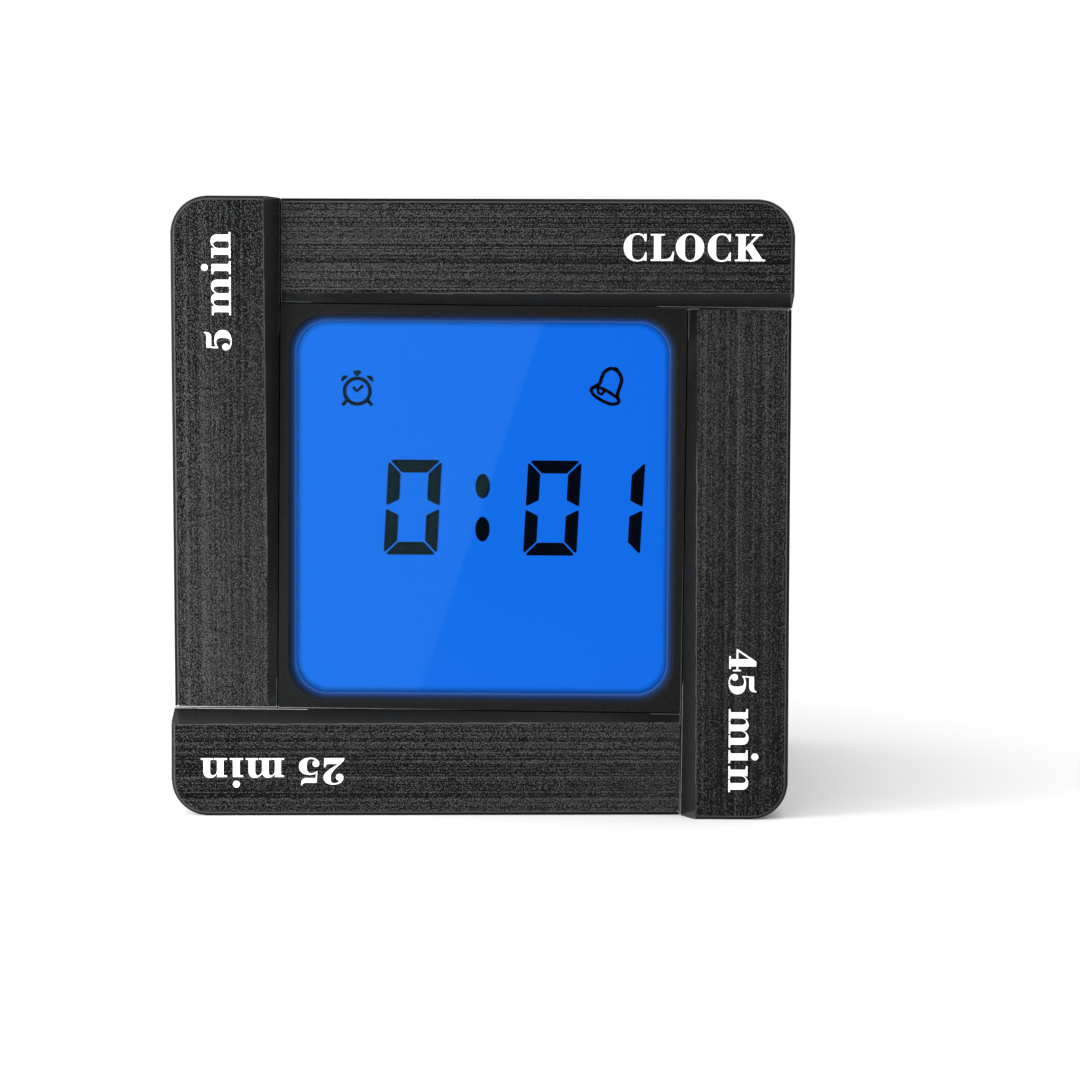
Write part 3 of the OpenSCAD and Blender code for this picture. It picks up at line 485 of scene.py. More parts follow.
def circuit(name):
    """Green circuit board with a pattern of tracks."""
    finish = Finish(name, {"Roughness": 0.35})
    tracks = finish.node("ShaderNodeTexBrick", {"offset": 0.37}, {
        "Vector": finish.place((1, 1, 1)), "Scale": 1.0, "Mortar Size": 0.06, "Brick Width": 3.1,
        "Row Height": 0.8, "Color1": (0.004, 0.06, 0.02), "Color2": (0.006, 0.08, 0.03),
        "Mortar": (0.02, 0.2, 0.07)}, "Color")
    return finish.feed({"Base Color": tracks})


def striped(name, first, second, per_mm, metal=0.0, rough=0.4):
    """Bands of two colours along X, as on a cell's jacket or a zebra strip."""
    finish = Finish(name, {"Metallic": metal, "Roughness": rough})
    wave = finish.node("ShaderNodeTexWave", {"wave_type": "BANDS", "bands_direction": "X"}, {
        "Vector": finish.place(), "Scale": per_mm, "Distortion": 0.0}, "Fac")
    scuff = finish.noise((1.5, 1.5, 1.5), 3)
    return finish.feed({
        "Base Color": finish.ramp(wave * 0.97 + scuff * 0.06, (0.48, first), (0.52, second)),
        "Normal": finish.bump(scuff, 0.01),
    })


def new_object(name, data):
    """Adds an object to the scene."""
    made = bpy.data.objects.new(name, data)
    bpy.context.scene.collection.objects.link(made)
    return made


def link(name, mesh, body, slot, *nodes):
    """Makes a piece from a finished mesh: rides on a body and may stand for CAD nodes."""
    piece = new_object(name, mesh)
    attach(piece, body)
    if nodes:
        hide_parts(*nodes)
    return piece


def body_of(node):
    """The body that a CAD node belongs to."""
    return next(body for body, members in frame["record"]["behaviour"]["bodies"].items() if node in members)


def slot_of(node):
    """The material slot that the record gives a CAD node."""
    return next(part["material_slot"] for part in frame["record"]["subparts"] if part["node"] == node)


def merged(node, choose, spare, cut):
    """Copy of a CAD node's mesh, sorted by finish and merged to plain faces with smooth walls."""
    shape = bmesh.new()
    shape.from_mesh(frame["nodes"][node].data)
    bmesh.ops.remove_doubles(shape, verts=shape.verts, dist=1e-6)
    if cut:
        bmesh.ops.bisect_plane(shape, geom=shape.verts[:] + shape.edges[:] + shape.faces[:], dist=1e-6,
                               plane_co=cut[0], plane_no=cut[1])
    for face in shape.faces:
        face.material_index = choose(face.calc_center_median(), face.normal) if choose else 0
        face.smooth = True
    bmesh.ops.dissolve_limit(shape, angle_limit=FLAT, verts=shape.verts, edges=shape.edges,
                             delimit={"MATERIAL"})
    weight = shape.edges.layers.float.new("bevel_weight_edge")
    for edge in shape.edges:
        border = len({face.material_index for face in edge.link_faces}) > 1
        turn = edge.calc_face_angle(0)
        edge.smooth = not border and turn < SHARP
        spared = turn < SLIGHT or spare and all(spare(vertex.co) for vertex in edge.verts)
        edge[weight] = 0.0 if edge.smooth or spared else 1.0
    mesh = bpy.data.meshes.new(node + "_skin")
    shape.to_mesh(mesh)
    shape.free()
    return mesh


def dress(node, *finishes, rounding=0.0, edges=None, choose=None, spare=None, cut=None):
    """Stands a merged copy of a CAD node, with rounded edges and smooth walls, in the node's place."""
    mesh = merged(node, choose, spare, cut)
    for finish in finishes + ((edges,) if edges else ()):
        mesh.materials.append(finish)
    piece = link(node + "_skin", mesh, body_of(node), slot_of(node), node)
    if rounding:
        bevel = piece.modifiers.new("rounding", "BEVEL")
        bevel.width = rounding
        bevel.segments = 2
        bevel.limit_method = "WEIGHT"
        bevel.material = len(finishes) if edges else -1
        bevel.use_clamp_overlap = False
        flat = piece.modifiers.new("flat faces", "WEIGHTED_NORMAL")
        flat.weight = 100
        flat.keep_sharp = True
    return piece


def paint(finish, *nodes):
    """Gives CAD nodes that stay as they are a finish."""
    for node in nodes:
        data = frame["nodes"][node].data
        data.materials.clear()
        data.materials.append(finish)


def outline_points(path):
    """Closed contours of a path of M, L, C and Z steps, as points with their two handles."""
    contours = []
    for step, body in re.findall(r"([MLCZ])([^MLCZ]*)", path):
        numbers = [float(n) for n in re.findall(r"-?[\d.]+", body)]
        pairs = [Vector(pair) for pair in zip(numbers[::2], numbers[1::2])]
        if step == "M":
            points = [[pairs[0]] * 3]
            contours.append(points)
        elif step == "C":
            for leave, reach, spot in zip(pairs[::3], pairs[1::3], pairs[2::3]):
                points[-1][2] = leave
                points.append([reach, spot, spot])
        else:
            start = points[0][1]
            for spot in pairs or [start] * ((points[-1][1] - start).length > 1e-6):
                last = points[-1][1]
                points[-1][2] = last.lerp(spot, 1 / 3)
                points.append([spot.lerp(last, 1 / 3), spot, spot])
            if step == "Z":
                points[0][0] = points.pop()[0]
    return contours


def flat_mesh(name, drawings, thickness, finish):
    """Flat mesh in millimetres of filled outlines, each with its shift and scale, from z = 0 up."""
    curve = bpy.data.curves.new(name, "CURVE")
    curve.dimensions = "2D"
    curve.fill_mode = "BOTH"
    curve.resolution_u = 6
    curve.extrude = thickness / MM / 2
    for path, shift, scale in drawings:
        for contour in outline_points(path):
            spline = curve.splines.new("BEZIER")
            spline.use_cyclic_u = True
            spline.bezier_points.add(len(contour) - 1)
            for point, (left, spot, right) in zip(spline.bezier_points, contour):
                point.handle_left_type = point.handle_right_type = "FREE"
                point.co = (*(spot * scale + shift), 0)
                point.handle_left = (*(left * scale + shift), 0)
                point.handle_right = (*(right * scale + shift), 0)
    mesh = evaluated(new_object(name, curve), name)
    mesh.transform(Matrix.Translation((0, 0, curve.extrude)))
    bpy.data.curves.remove(curve)
    mesh.materials.clear()
    mesh.materials.append(finish)
    return mesh


def evaluated(maker, name):
    """Plain mesh of an object with its modifiers; the object itself is removed."""
    depsgraph = bpy.context.evaluated_depsgraph_get()
    mesh = bpy.data.meshes.new_from_object(maker.evaluated_get(depsgraph))
    mesh.name = name
    bpy.data.objects.remove(maker)
    shape = bmesh.new()
    shape.from_mesh(mesh)
    bmesh.ops.remove_doubles(shape, verts=shape.verts, dist=1e-5)
    bmesh.ops.recalc_face_normals(shape, faces=shape.faces)
    shape.to_mesh(mesh)
    shape.free()
    return mesh


def front_frame(level_y, u=0.0, z=MIDDLE_Z, turn=0.0):
    """Takes a drawing in millimetres to a plane of the front at that Y, or turned round, of the back."""
    return Matrix.Translation((u, level_y, z)) @ Matrix.Rotation(turn, 4, "Z") \
        @ Matrix.Rotation(math.pi / 2, 4, "X") @ Matrix.Scale(MM, 4)


class Tree(Graph):
    """A Geometry Nodes tree under construction, with named inputs."""

    def __init__(self, name, sizes):
        self.tree = bpy.data.node_groups.new(name, "GeometryNodeTree")
        face = self.tree.interface
        face.new_socket("Geometry", in_out="OUTPUT", socket_type="NodeSocketGeometry")
        face.new_socket("Geometry", in_out="INPUT", socket_type="NodeSocketGeometry")
        kinds = {size: "NodeSocketFloat" for size in sizes} | {"Finish": "NodeSocketMaterial"}
        self.names = {key: face.new_socket(key, in_out="INPUT", socket_type=kind).identifier
                      for key, kind in kinds.items()}
        self.inputs = {socket.name: Wire(self, socket)
                       for socket in self.tree.nodes.new("NodeGroupInput").outputs}
        self.result = self.tree.nodes.new("NodeGroupOutput")

    def close(self, geometry):
        """Ends the tree: instances made real, with the finish."""
        solid = self.node("GeometryNodeRealizeInstances", {}, {"Geometry": geometry})
        done = self.node("GeometryNodeSetMaterial", {}, {"Geometry": solid, "Material": self.inputs["Finish"]})
        self.connect(self.result.inputs[0], done)

    def run(self, maker, name, values):
        """Plain mesh of the tree on an object, with the inputs set by their identifiers."""
        modifier = maker.modifiers.new("tree", "NODES")
        modifier.node_group = self.tree
        for key, value in values.items():
            modifier[self.names[key]] = value
        return evaluated(maker, name)


def segment_tree():
    """Digit segments: points carry a kind and a turn, and each gets a mitred bar."""
    tree = Tree("digit_segments", ("Bar", "Side", "Thickness", "Middle Cut", "Depth", "Slant"))
    size, add = tree.inputs, tree.node
    thick, cut = size["Thickness"], size["Middle Cut"]
    skew = (thick - cut) * 0.5
    forms = (
        (size["Bar"], thick * 2, 0.0),
        (size["Side"], thick + cut, skew),
        (size["Side"], thick + cut, skew * -1),
    )
    kind = add("GeometryNodeInputNamedAttribute", {"data_type": "INT"}, {"Name": "kind"})
    turn = add("GeometryNodeInputNamedAttribute", {"data_type": "FLOAT"}, {"Name": "turn"})
    rotation = add("ShaderNodeCombineXYZ", {}, {"Z": turn})
    placed = []
    for number, (outer, shorter, offset) in enumerate(forms):
        bar = add("GeometryNodeCurvePrimitiveQuadrilateral", {"mode": "TRAPEZOID"}, {
            "Bottom Width": outer, "Top Width": outer - shorter, "Height": thick, "Offset": offset})
        soft = add("GeometryNodeFilletCurve", {"mode": "POLY"}, {
            "Curve": bar, "Count": 3, "Radius": thick * 0.1})
        face = add("GeometryNodeFillCurve", {"mode": "NGONS"}, {"Curve": soft})
        chosen = add("FunctionNodeCompare", {"data_type": "INT", "operation": "EQUAL"}, {2: kind, 3: number})
        placed.append(add("GeometryNodeInstanceOnPoints", {}, {
            "Points": size["Geometry"], "Selection": chosen, "Instance": face, "Rotation": rotation}))
    flat = add("GeometryNodeRealizeInstances", {}, {
        "Geometry": add("GeometryNodeJoinGeometry", {}, {"Geometry": placed})})
    raised = add("GeometryNodeExtrudeMesh", {"mode": "FACES"}, {
        "Mesh": flat, "Offset Scale": size["Depth"], "Individual": False})
    under = add("GeometryNodeFlipFaces", {}, {"Mesh": flat})
    solid = add("GeometryNodeJoinGeometry", {}, {"Geometry": [raised, under]})
    height = add("ShaderNodeSeparateXYZ", {}, {
        "Vector": add("GeometryNodeInputPosition", {}, {})}, "Y")
    lean = add("ShaderNodeCombineXYZ", {}, {"X": height * size["Slant"]})
    tree.close(add("GeometryNodeSetPosition", {}, {"Geometry": solid, "Offset": lean}))
    return tree


def stroke_tree():
    """Flat strokes of a given width along drawn curves."""
    tree = Tree("pictogram_strokes", ("Width", "Depth"))
    size, add = tree.inputs, tree.node
    upright = add("GeometryNodeSetCurveNormal", {"mode": "Z_UP"}, {"Curve": size["Geometry"]})
    pen = add("GeometryNodeCurvePrimitiveQuadrilateral", {"mode": "RECTANGLE"}, {
        "Width": size["Width"], "Height": size["Depth"]})
    ribbon = add("GeometryNodeCurveToMesh", {}, {
        "Curve": upright, "Profile Curve": pen, "Fill Caps": True})
    tree.close(add("GeometryNodeSetShadeSmooth", {}, {"Geometry": ribbon, "Shade Smooth": False}))
    return tree


def join_meshes(name, meshes, finish):
    """One mesh out of several, with one finish."""
    shape = bmesh.new()
    for mesh in meshes:
        shape.from_mesh(mesh)
        bpy.data.meshes.remove(mesh)
    whole = bpy.data.meshes.new(name)
    shape.to_mesh(whole)
    shape.free()
    whole.materials.append(finish)
    for face in whole.polygons:
        face.material_index = 0
    return whole


def box_path(u0, v0, u1, v1):
    """Outline of a rectangle."""
    return f"M{u0},{v0} L{u1},{v0} L{u1},{v1} L{u0},{v1} Z"


def round_path(u, v, ru, rv):
    """Outline of an oval, in four quarters."""
    path = f"M{u + ru},{v}C"
    for c, s in ((1, 0), (0, 1), (-1, 0), (0, -1)):
        for a, b in ((c - ROUND * s, s + ROUND * c), (ROUND * c - s, ROUND * s + c), (-s, c)):
            path += f" {u + a * ru},{v + b * rv}"
    return path + "Z"


class FLIPTIMER_OT_stage(bpy.types.Operator):
    """Sets the pale floor, the soft light and the camera"""
    bl_idname = "flip_timer.stage"
    bl_label = "Stage"

    def execute(self, context):
        stage = look().stage
        scene = context.scene
        scene.view_settings.view_transform = "Standard"
        scene.world = bpy.data.worlds.new("studio")
        scene.world.use_nodes = True
        sky = scene.world.node_tree.nodes["Background"].inputs
        sky["Color"].default_value = (1, 1, 1, 1)
        sky["Strength"].default_value = stage.sky
        sun = self.lamp("overhead", "SUN", stage.sun)
        sun.data.angle = math.radians(70)
        sun.rotation_euler = (math.radians(25), math.radians(-12), 0)
        fill = self.lamp("fill", "AREA", stage.fill)
        fill.data.size = 60 * MM
        fill.location = Vector((-105, -80, 36)) * MM
        fill.rotation_euler = fill.location.to_track_quat("Z", "Y").to_euler()
        fill.visible_camera = fill.visible_glossy = False
        self.floor(stage)
        self.gloss_card(stage)
        self.dome(stage)
        scene.camera = self.camera(stage)
        return {"FINISHED"}

    def lamp(self, name, kind, energy):
        """Adds a light."""
        lamp = new_object(name, bpy.data.lights.new(name, kind))
        lamp.data.energy = energy
        return lamp

    def add(self, mesh, material, *blind):
        """Adds a piece of the stage that some kinds of rays do not see."""
        mesh.materials.append(material)
        piece = new_object(mesh.name, mesh)
        for ray in blind:
            setattr(piece, "visible_" + ray, False)
        piece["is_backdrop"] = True

    def floor(self, stage):
        """Pale round floor."""
        radius, sides = 6, 64
        turns = [math.tau * side / sides for side in range(sides)]
        mesh = bpy.data.meshes.new("floor")
        mesh.from_pydata([(radius * math.cos(a), radius * math.sin(a), 0) for a in turns], [], [range(sides)])
        finish = Finish("floor", {"Roughness": 0.9, "Specular IOR Level": 0.1})
        mottle = finish.noise((0.01, 0.01, 0.01), 2)
        dim = tuple(c * 0.985 for c in stage.floor)
        self.add(mesh, finish.feed({
            "Base Color": finish.ramp(mottle, (0.3, dim), (0.7, stage.floor))}), "glossy")

    def dome(self, stage):
        """Half dome that only reflections see: dim ahead of the display, brighter round that."""
        radius = 0.5
        mesh = bpy.data.meshes.new("dome")
        shape = bmesh.new()
        bmesh.ops.create_uvsphere(shape, u_segments=64, v_segments=32, radius=radius)
        behind = [face for face in shape.faces if face.calc_center_median().y > 0.1]
        bmesh.ops.delete(shape, geom=behind, context="FACES")
        bmesh.ops.translate(shape, verts=shape.verts, vec=(0, 0, MIDDLE_Z))
        shape.to_mesh(mesh)
        shape.free()
        finish = Finish("dome", {"Base Color": (0, 0, 0), "Specular IOR Level": 0.0,
                                 "Emission Strength": stage.dome})
        x, _, z = finish.axes()
        u, v = x * (1 / radius), (z - MIDDLE_Z) * (1 / radius)
        away = (u * u + v * v).root() - u * 0.3 - v * 0.35
        self.add(mesh, finish.feed({"Emission Color": finish.ramp(
            away, (0.0, 0.05), (0.12, 0.08), (0.2, 0.3), (0.32, 0.8), (0.45, 1.0), (0.65, 0.15), (0.9, 0.1))}),
            *REFLECTED_ONLY)

    def gloss_card(self, stage):
        """Bright card that only reflections see: its leaning edge is the window's diagonal gloss."""
        card_y, window_y = -440, -24
        eye = Vector((CAMERA.x, 2 * window_y - CAMERA.y, CAMERA.z))
        corners = []
        for u, z in ((-19, 11.9), (-6.3, 11.9), (6.3, 50), (-19, 50)):
            spot = Vector((u, window_y, z))
            corners.append(eye.lerp(spot, (card_y - eye.y) / (window_y - eye.y)) * MM)
        mesh = bpy.data.meshes.new("gloss_card")
        mesh.from_pydata(corners, [], [(0, 1, 2, 3)])
        finish = Finish("gloss_card", {"Base Color": (0, 0, 0), "Emission Color": (0.45, 0.9, 1),
                                       "Emission Strength": stage.gloss})
        self.add(mesh, finish.material, *REFLECTED_ONLY)

    def camera(self, stage):
        """Camera at the photograph's viewing angle, tipped down and rolled a little."""
        data = bpy.data.cameras.new("camera")
        data.lens = stage.focal_length
        data.sensor_width = 36
        data.clip_start = 0.01
        tip, roll = math.radians(90 - 3.365), math.radians(0.383)
        camera = new_object("camera", data)
        camera.matrix_world = Matrix.Translation(CAMERA * MM) @ Matrix.Rotation(tip, 4, "X") \
            @ Matrix.Rotation(roll, 4, "Z")
        return camera


class FLIPTIMER_OT_panels(bpy.types.Operator):
    """Dresses the four side panels: grained faces and polished ramps"""
    bl_idname = "flip_timer.panels"
    bl_label = "Side panels"

    def execute(self, context):
        panel = look().panel
        far = panel.far_end / MM
        grains = {0: wood_grain("grain_level", 0, 0.46), 2: wood_grain("grain_upright", 2, 0.25)}
        # the ramps' colour is paler toward their raised ends: a painted sheen
        ramp = gloss_black("polished_ramp", 0.006, 0.06, 0.2, 0.014)
        # rounded edges of the panels, with painted highlights at the seams
        edge = painted_highlight_edge("rounded_edge_painted_highlight", panel.edge, 0.5)
        for node, (turn, along) in PANELS.items():
            away = front_frame(FRONT_Y) @ Matrix.Rotation(math.radians(turn), 4, "Z")
            home = away.inverted()
            start = Vector((far, HALF - panel.face_low / MM, 0))
            end = Vector((HALF, HALF - panel.face_high / MM, 0))
            across = away.to_3x3() @ (end - start).cross(Vector((0, 0, 1)))

            def polished(middle, normal):
                """1 for the ramp down to the bezel and for the outer chamfer, else 0."""
                spot = home @ middle
                share = (spot.x - far) / (HALF - far)
                top = (panel.face_low + share * (panel.face_high - panel.face_low)) / MM
                wide = (panel.ramp_low + share * (panel.ramp_high - panel.ramp_low)) / MM
                inward = HALF - spot.y
                above = spot.z > -0.3 and normal.y < -0.2 and -0.1 < share < 1.02
                on_ramp = above and top < inward < top + wide + 0.02
                outward = normal.x * middle.x + normal.z * (middle.z - MIDDLE_Z) > 0
                return int(on_ramp or outward and -0.9 < normal.y < -0.4)

            def sharp(spot):
                """True on the outer sides and most of the ramp's foot, where edges stay sharp."""
                outside = max(abs(spot.x), abs(spot.z - MIDDLE_Z)) > (HALF - 0.02) * MM
                along = (home @ spot).x
                return outside or spot.y > FRONT_Y - 0.01 * MM and far + 0.2 < along < 18

            dress(node, grains[along], ramp, rounding=panel.rounding, edges=edge, choose=polished, spare=sharp,
                  cut=(away @ start, across.normalized()))
        return {"FINISHED"}


class FLIPTIMER_OT_labels(bpy.types.Operator):
    """Prints the four words on the sloping faces"""
    bl_idname = "flip_timer.labels"
    bl_label = "Lettering"

    def execute(self, context):
        panel = look().panel
        finish = moulded("printed_white", panel.print_colour, 0.5, grain=5, depth=0.004)
        far, rise = panel.far_end / MM, panel.rise / MM
        wedge = math.atan(rise / (HALF - far))
        for name, (word, node, start, base, unit) in LABELS.items():
            drawings, pen = [], 0
            for letter in word:
                advance, path = LETTERS[letter]
                drawings.append((path, Vector((pen * unit, 0)), unit))
                pen += advance
            mesh = flat_mesh(name, drawings, panel.ink, finish)
            height = rise * (start - far) / (HALF - far)
            on_face = Matrix.Translation((start, base, height)) @ Matrix.Rotation(-wedge, 4, "Y")
            turn = Matrix.Rotation(math.radians(PANELS[node][0]), 4, "Z")
            mesh.transform(front_frame(FRONT_Y) @ turn @ on_face)
            link(name, mesh, "case", "film")
        return {"FINISHED"}


class FLIPTIMER_OT_window(bpy.types.Operator):
    """Finishes the polished bezel, the clear window and the lit display behind it"""
    bl_idname = "flip_timer.window"
    bl_label = "Bezel and window"

    def execute(self, context):
        # rounded edges of the bezel, with painted highlights at the seams
        edge = painted_highlight_edge("bezel_edge_painted_highlight", 0.01, 0.1)

        def sharp(spot):
            """True away from the front, where edges stay sharp."""
            return spot.y > FRONT_Y + 0.1 * MM

        dress("front_bezel", lit_bezel(), rounding=0.06 * MM, edges=edge, spare=sharp)
        glass = gloss_black("display_glass", 0.01, 0.1, 0.3)
        for piece in (dress("display_window", clear_window()),
                      dress("lcd_glass", backlit(), glass, choose=lambda _, normal: int(normal.y > -0.9))):
            piece.visible_glossy = piece.visible_diffuse = False
        paint(moulded("gasket_foam", (0.01, 0.01, 0.01), 0.95, grain=4, depth=0.05), "window_gasket")
        return {"FINISHED"}


class FLIPTIMER_OT_digits(bpy.types.Operator):
    """Draws the digits and the two dots on the display"""
    bl_idname = "flip_timer.digits"
    bl_label = "Digits"

    def execute(self, context):
        display = look().display
        finish = moulded("dark_segment", display.segment_colour, 0.6, grain=3, depth=0.002, specular=0.0)
        thick, height = display.segment / MM, display.digit_height / MM
        wide = display.digit_width / MM
        recede = display.gap / MM / math.sqrt(2)
        waist = display.waist / MM / 2
        side = height / 2 - recede - waist
        across, middle = (wide - thick) / 2, waist + side / 2
        quarter = math.pi / 2
        # the letters stand for top, bottom, left upper, left lower, right upper and right lower
        places = {
            "t": (0, (height - thick) / 2, 0, math.pi),
            "b": (0, -(height - thick) / 2, 0, 0),
            "l": (-across, middle, 1, -quarter),
            "w": (-across, -middle, 2, -quarter),
            "r": (across, middle, 2, quarter),
            "u": (across, -middle, 1, quarter),
        }
        rows = [(u + places[s][0], *places[s][1:]) for u, figure in DIGITS for s in SEGMENTS[figure]]
        points = bpy.data.meshes.new("segment_points")
        points.from_pydata([(u, v, 0) for u, v, _, _ in rows], [], [])
        points.attributes.new("kind", "INT", "POINT").data.foreach_set("value", [r[2] for r in rows])
        points.attributes.new("turn", "FLOAT", "POINT").data.foreach_set("value", [r[3] for r in rows])
        maker = new_object("segment_points", points)
        bars = segment_tree().run(maker, "digits", {
            "Bar": wide - 2 * recede, "Side": side, "Thickness": thick, "Middle Cut": 0.51 * thick,
            "Depth": display.depth / MM, "Slant": math.tan(display.slant), "Finish": finish})
        dots = [(round_path(0, v, 0.75, 1.27), Vector((0, 0)), 1) for v in (2.2, -2.2)]
        dots = flat_mesh("dots", dots, display.depth, finish)
        for name, mesh in (("display_digits", bars), ("display_dots", dots)):
            mesh.transform(front_frame(GLASS_Y))
            link(name, mesh, "case", "lcd")
        return {"FINISHED"}


class FLIPTIMER_OT_pictograms(bpy.types.Operator):
    """Draws the alarm clock and the bell on the display"""
    bl_idname = "flip_timer.pictograms"
    bl_label = "Pictograms"

    def execute(self, context):
        display = look().display
        finish = moulded("dark_pictogram", display.segment_colour, 0.6, grain=3, depth=0.002, specular=0.0)
        tree = stroke_tree()
        for name, strokes in STROKES.items():
            meshes = [self.stroke(tree, name, finish, *stroke) for stroke in strokes]
            whole = join_meshes(name, meshes, finish)
            if name == "pictogram_alarm":
                body = flat_mesh(name, self.clock_shapes(), display.depth, finish)
                whole = join_meshes(name, [whole, body], finish)
                whole.transform(Matrix.Translation((ALARM_U, ALARM_V, 0)))
            whole.transform(front_frame(GLASS_Y))
            link(name, whole, "case", "lcd")
        return {"FINISHED"}

    def stroke(self, tree, name, finish, width, closed, spots):
        """One stroke along a smooth or straight curve, lying on z = 0."""
        curve = bpy.data.curves.new(name, "CURVE")
        curve.dimensions = "3D"
        curve.resolution_u = 6
        spline = curve.splines.new("BEZIER")
        spline.use_cyclic_u = closed
        spline.bezier_points.add(len(spots) - 1)
        for point, (u, v) in zip(spline.bezier_points, spots):
            point.co = (u, v, 0)
            handle = "AUTO" if len(spots) > 3 else "VECTOR"
            point.handle_left_type = point.handle_right_type = handle
        depth = look().display.depth / MM
        mesh = tree.run(new_object(name, curve), name, {"Width": width, "Depth": depth, "Finish": finish})
        mesh.transform(Matrix.Translation((0, 0, depth / 2)))
        return mesh

    def clock_shapes(self):
        """Ring, two bells and the knob of the alarm clock."""
        ring = round_path(0, 0, 1.5, 1.5) + " " + round_path(0, 0, 1.12, 1.12)
        shapes = [ring, box_path(-0.38, 1.75, 0.38, 2.1), box_path(-0.2, 1.54, 0.2, 1.76)]
        for side in (-1, 1):
            flat = Vector((side * 0.756, -0.655)) * 0.41
            out = Vector((side * 0.655, 0.756)) * 0.41
            foot = Vector((side * 1.23, 1.2))
            a, b, top = foot - flat, foot + flat, foot + out
            spots = (a + out * ROUND, top - flat * ROUND, top, top + flat * ROUND, b + out * ROUND, b)
            shapes.append(f"M{a.x},{a.y}C" + " ".join(f"{spot.x},{spot.y}" for spot in spots) + "Z")
        return [(path, Vector((0, 0)), 1) for path in shapes]


class FLIPTIMER_OT_back(bpy.types.Operator):
    """Dresses the rear cover, its door, the buttons and the sound switch"""
    bl_idname = "flip_timer.back"
    bl_label = "Back"

    def execute(self, context):
        back = look().back
        cover = moulded("spark_texture", back.cover, 0.55, grain=3.2, depth=0.05)
        dress("rear_cover", cover, rounding=back.rounding)
        dress("battery_door", cover, rounding=back.rounding)
        rubber = moulded("soft_rubber", back.button, 0.75, grain=5, depth=0.01)
        for node in ("set_button", "up_button", "down_button"):
            dress(node, rubber)
        dress("sound_knob", moulded("knob_plastic", back.knob, 0.5, grain=3, depth=0.02), rounding=0.05 * MM)
        steel = moulded("screw_steel", (0.3, 0.3, 0.31), 0.35, grain=6, depth=0.01, metal=1.0)
        for node in ("cover_screws", "panel_screws", "main_board_screws", "key_board_screws"):
            dress(node, steel)
        mark = moulded("button_mark", back.mark, 0.6, grain=5, depth=0.004)
        marks = {
            "set_button": round_path(0, 0, 0.9, 0.9),
            "up_button": "M-1.25,-0.75 L1.25,-0.75 L0,1.25 Z",
            "down_button": "M-1.25,0.75 L0,-1.25 L1.25,0.75 Z",
        }
        for node, path in marks.items():
            low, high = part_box(node)
            mesh = flat_mesh(node + "_mark", [(path, Vector((0, 0)), 1)], 0.12 * MM, mark)
            middle = (low + high) / 2
            mesh.transform(front_frame(high.y - 0.1 * MM, middle.x, middle.z, math.pi))
            link(node + "_mark", mesh, node, "button")
        return {"FINISHED"}


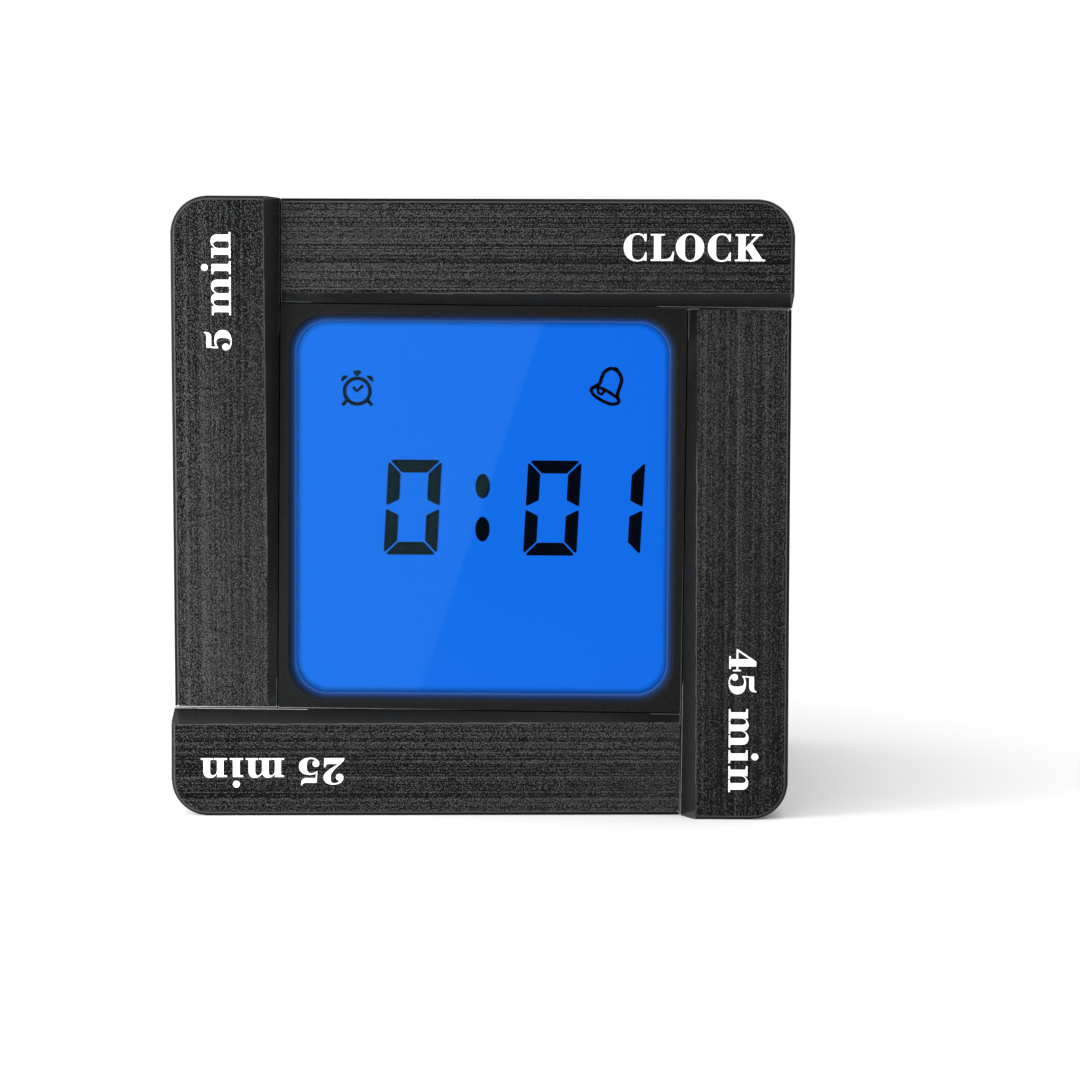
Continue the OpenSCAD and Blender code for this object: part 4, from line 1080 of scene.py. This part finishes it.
class FLIPTIMER_OT_inside(bpy.types.Operator):
    """Finishes the pieces inside the case"""
    bl_idname = "flip_timer.inside"
    bl_label = "Inside"

    def execute(self, context):
        jacket = striped("cell_jacket", (0.012, 0.012, 0.014), (0.75, 0.5, 0.13), 0.0105, metal=0.6, rough=0.3)
        for node in ("upper_cell", "lower_cell"):
            dress(node, jacket)
        tin = moulded("tinned_steel", (0.6, 0.6, 0.58), 0.3, grain=3, depth=0.01, metal=1.0)
        dress("cell_springs", tin)
        dress("cell_contacts", tin, rounding=0.04 * MM)
        paint(tin, "crystal", "sound_switch")
        paint(circuit("solder_mask"), "main_board", "key_board")
        # name, colour, roughness, grain and its depth, metal, nodes
        for *finish, nodes in (
            ("plated_brass", (0.7, 0.5, 0.2), 0.3, 2, 0.01, 1, "left_tilt_can right_tilt_can buzzer_disc"),
            ("polished_ball", (0.7, 0.7, 0.7), 0.12, 1, 0.001, 1, "left_tilt_ball right_tilt_ball"),
            ("black_resin", (0.008, 0.008, 0.008), 0.3, 1, 0.02, 0,
             "controller_chip left_tilt_plug right_tilt_plug"),
            ("switch_plastic", (0.02, 0.02, 0.02), 0.45, 2.2, 0.02, 0,
             "key_switches set_plunger up_plunger down_plunger"),
            ("white_holder", (0.75, 0.75, 0.72), 0.5, 2.2, 0.02, 0, "lcd_holder ribbon_headers"),
            ("white_film", (0.85, 0.85, 0.85), 0.6, 6, 0.004, 0, "reflector_sheet"),
            # the clear light guide is coloured dark: painted shade of the inside of the case
            ("edge_lit_guide", (0.02, 0.03, 0.05), 0.2, 3, 0.01, 0, "light_guide"),
            ("blue_lamp", (0.15, 0.35, 0.95), 0.25, 3, 0.01, 0, "backlight_leds"),
            ("fired_ceramic", (0.8, 0.77, 0.7), 0.6, 6, 0.01, 0, "buzzer_ceramic"),
            ("lead_jacket", (0.4, 0.02, 0.02), 0.5, 2, 0.01, 0, "battery_leads buzzer_leads"),
        ):
            paint(moulded(*finish), *nodes.split())
        paint(striped("zebra_rubber", (0.7, 0.35, 0.35), (0.04, 0.04, 0.04), 1.2, rough=0.7), "zebra_strips")
        paint(striped("ribbon_wires", (0.5, 0.5, 0.52), (0.35, 0.35, 0.37), 0.26, rough=0.5), "ribbon_cable")
        return {"FINISHED"}


class FLIPTIMER_PT_sidebar(bpy.types.Panel):
    """Lists the steps and the settings of the timer"""
    bl_idname = "FLIPTIMER_PT_sidebar"
    bl_label = "Flip timer"
    bl_space_type = "VIEW_3D"
    bl_region_type = "UI"
    bl_category = "Flip timer"

    def draw(self, context):
        for step in STEPS:
            self.layout.operator(step.bl_idname)
        settings = context.scene.flip_timer
        for group in (settings.panel, settings.display, settings.back, settings.stage):
            box = self.layout.box()
            for name in group.__annotations__:
                box.prop(group, name)


STEPS = (FLIPTIMER_OT_stage, FLIPTIMER_OT_panels, FLIPTIMER_OT_labels, FLIPTIMER_OT_window,
         FLIPTIMER_OT_digits, FLIPTIMER_OT_pictograms, FLIPTIMER_OT_back, FLIPTIMER_OT_inside)
CLASSES = (PanelLook, DisplayLook, BackLook, StageLook, TimerLook, *STEPS, FLIPTIMER_PT_sidebar)


def register():
    for one in CLASSES:
        bpy.utils.register_class(one)
    bpy.types.Scene.flip_timer = PointerProperty(type=TimerLook)


def unregister():
    del bpy.types.Scene.flip_timer
    for one in reversed(CLASSES):
        bpy.utils.unregister_class(one)


def main():
    """Makes every piece in order."""
    register()
    for step in STEPS:
        group, name = step.bl_idname.split(".")
        getattr(getattr(bpy.ops, group), name)()


if __name__ == "__main__":
    main()
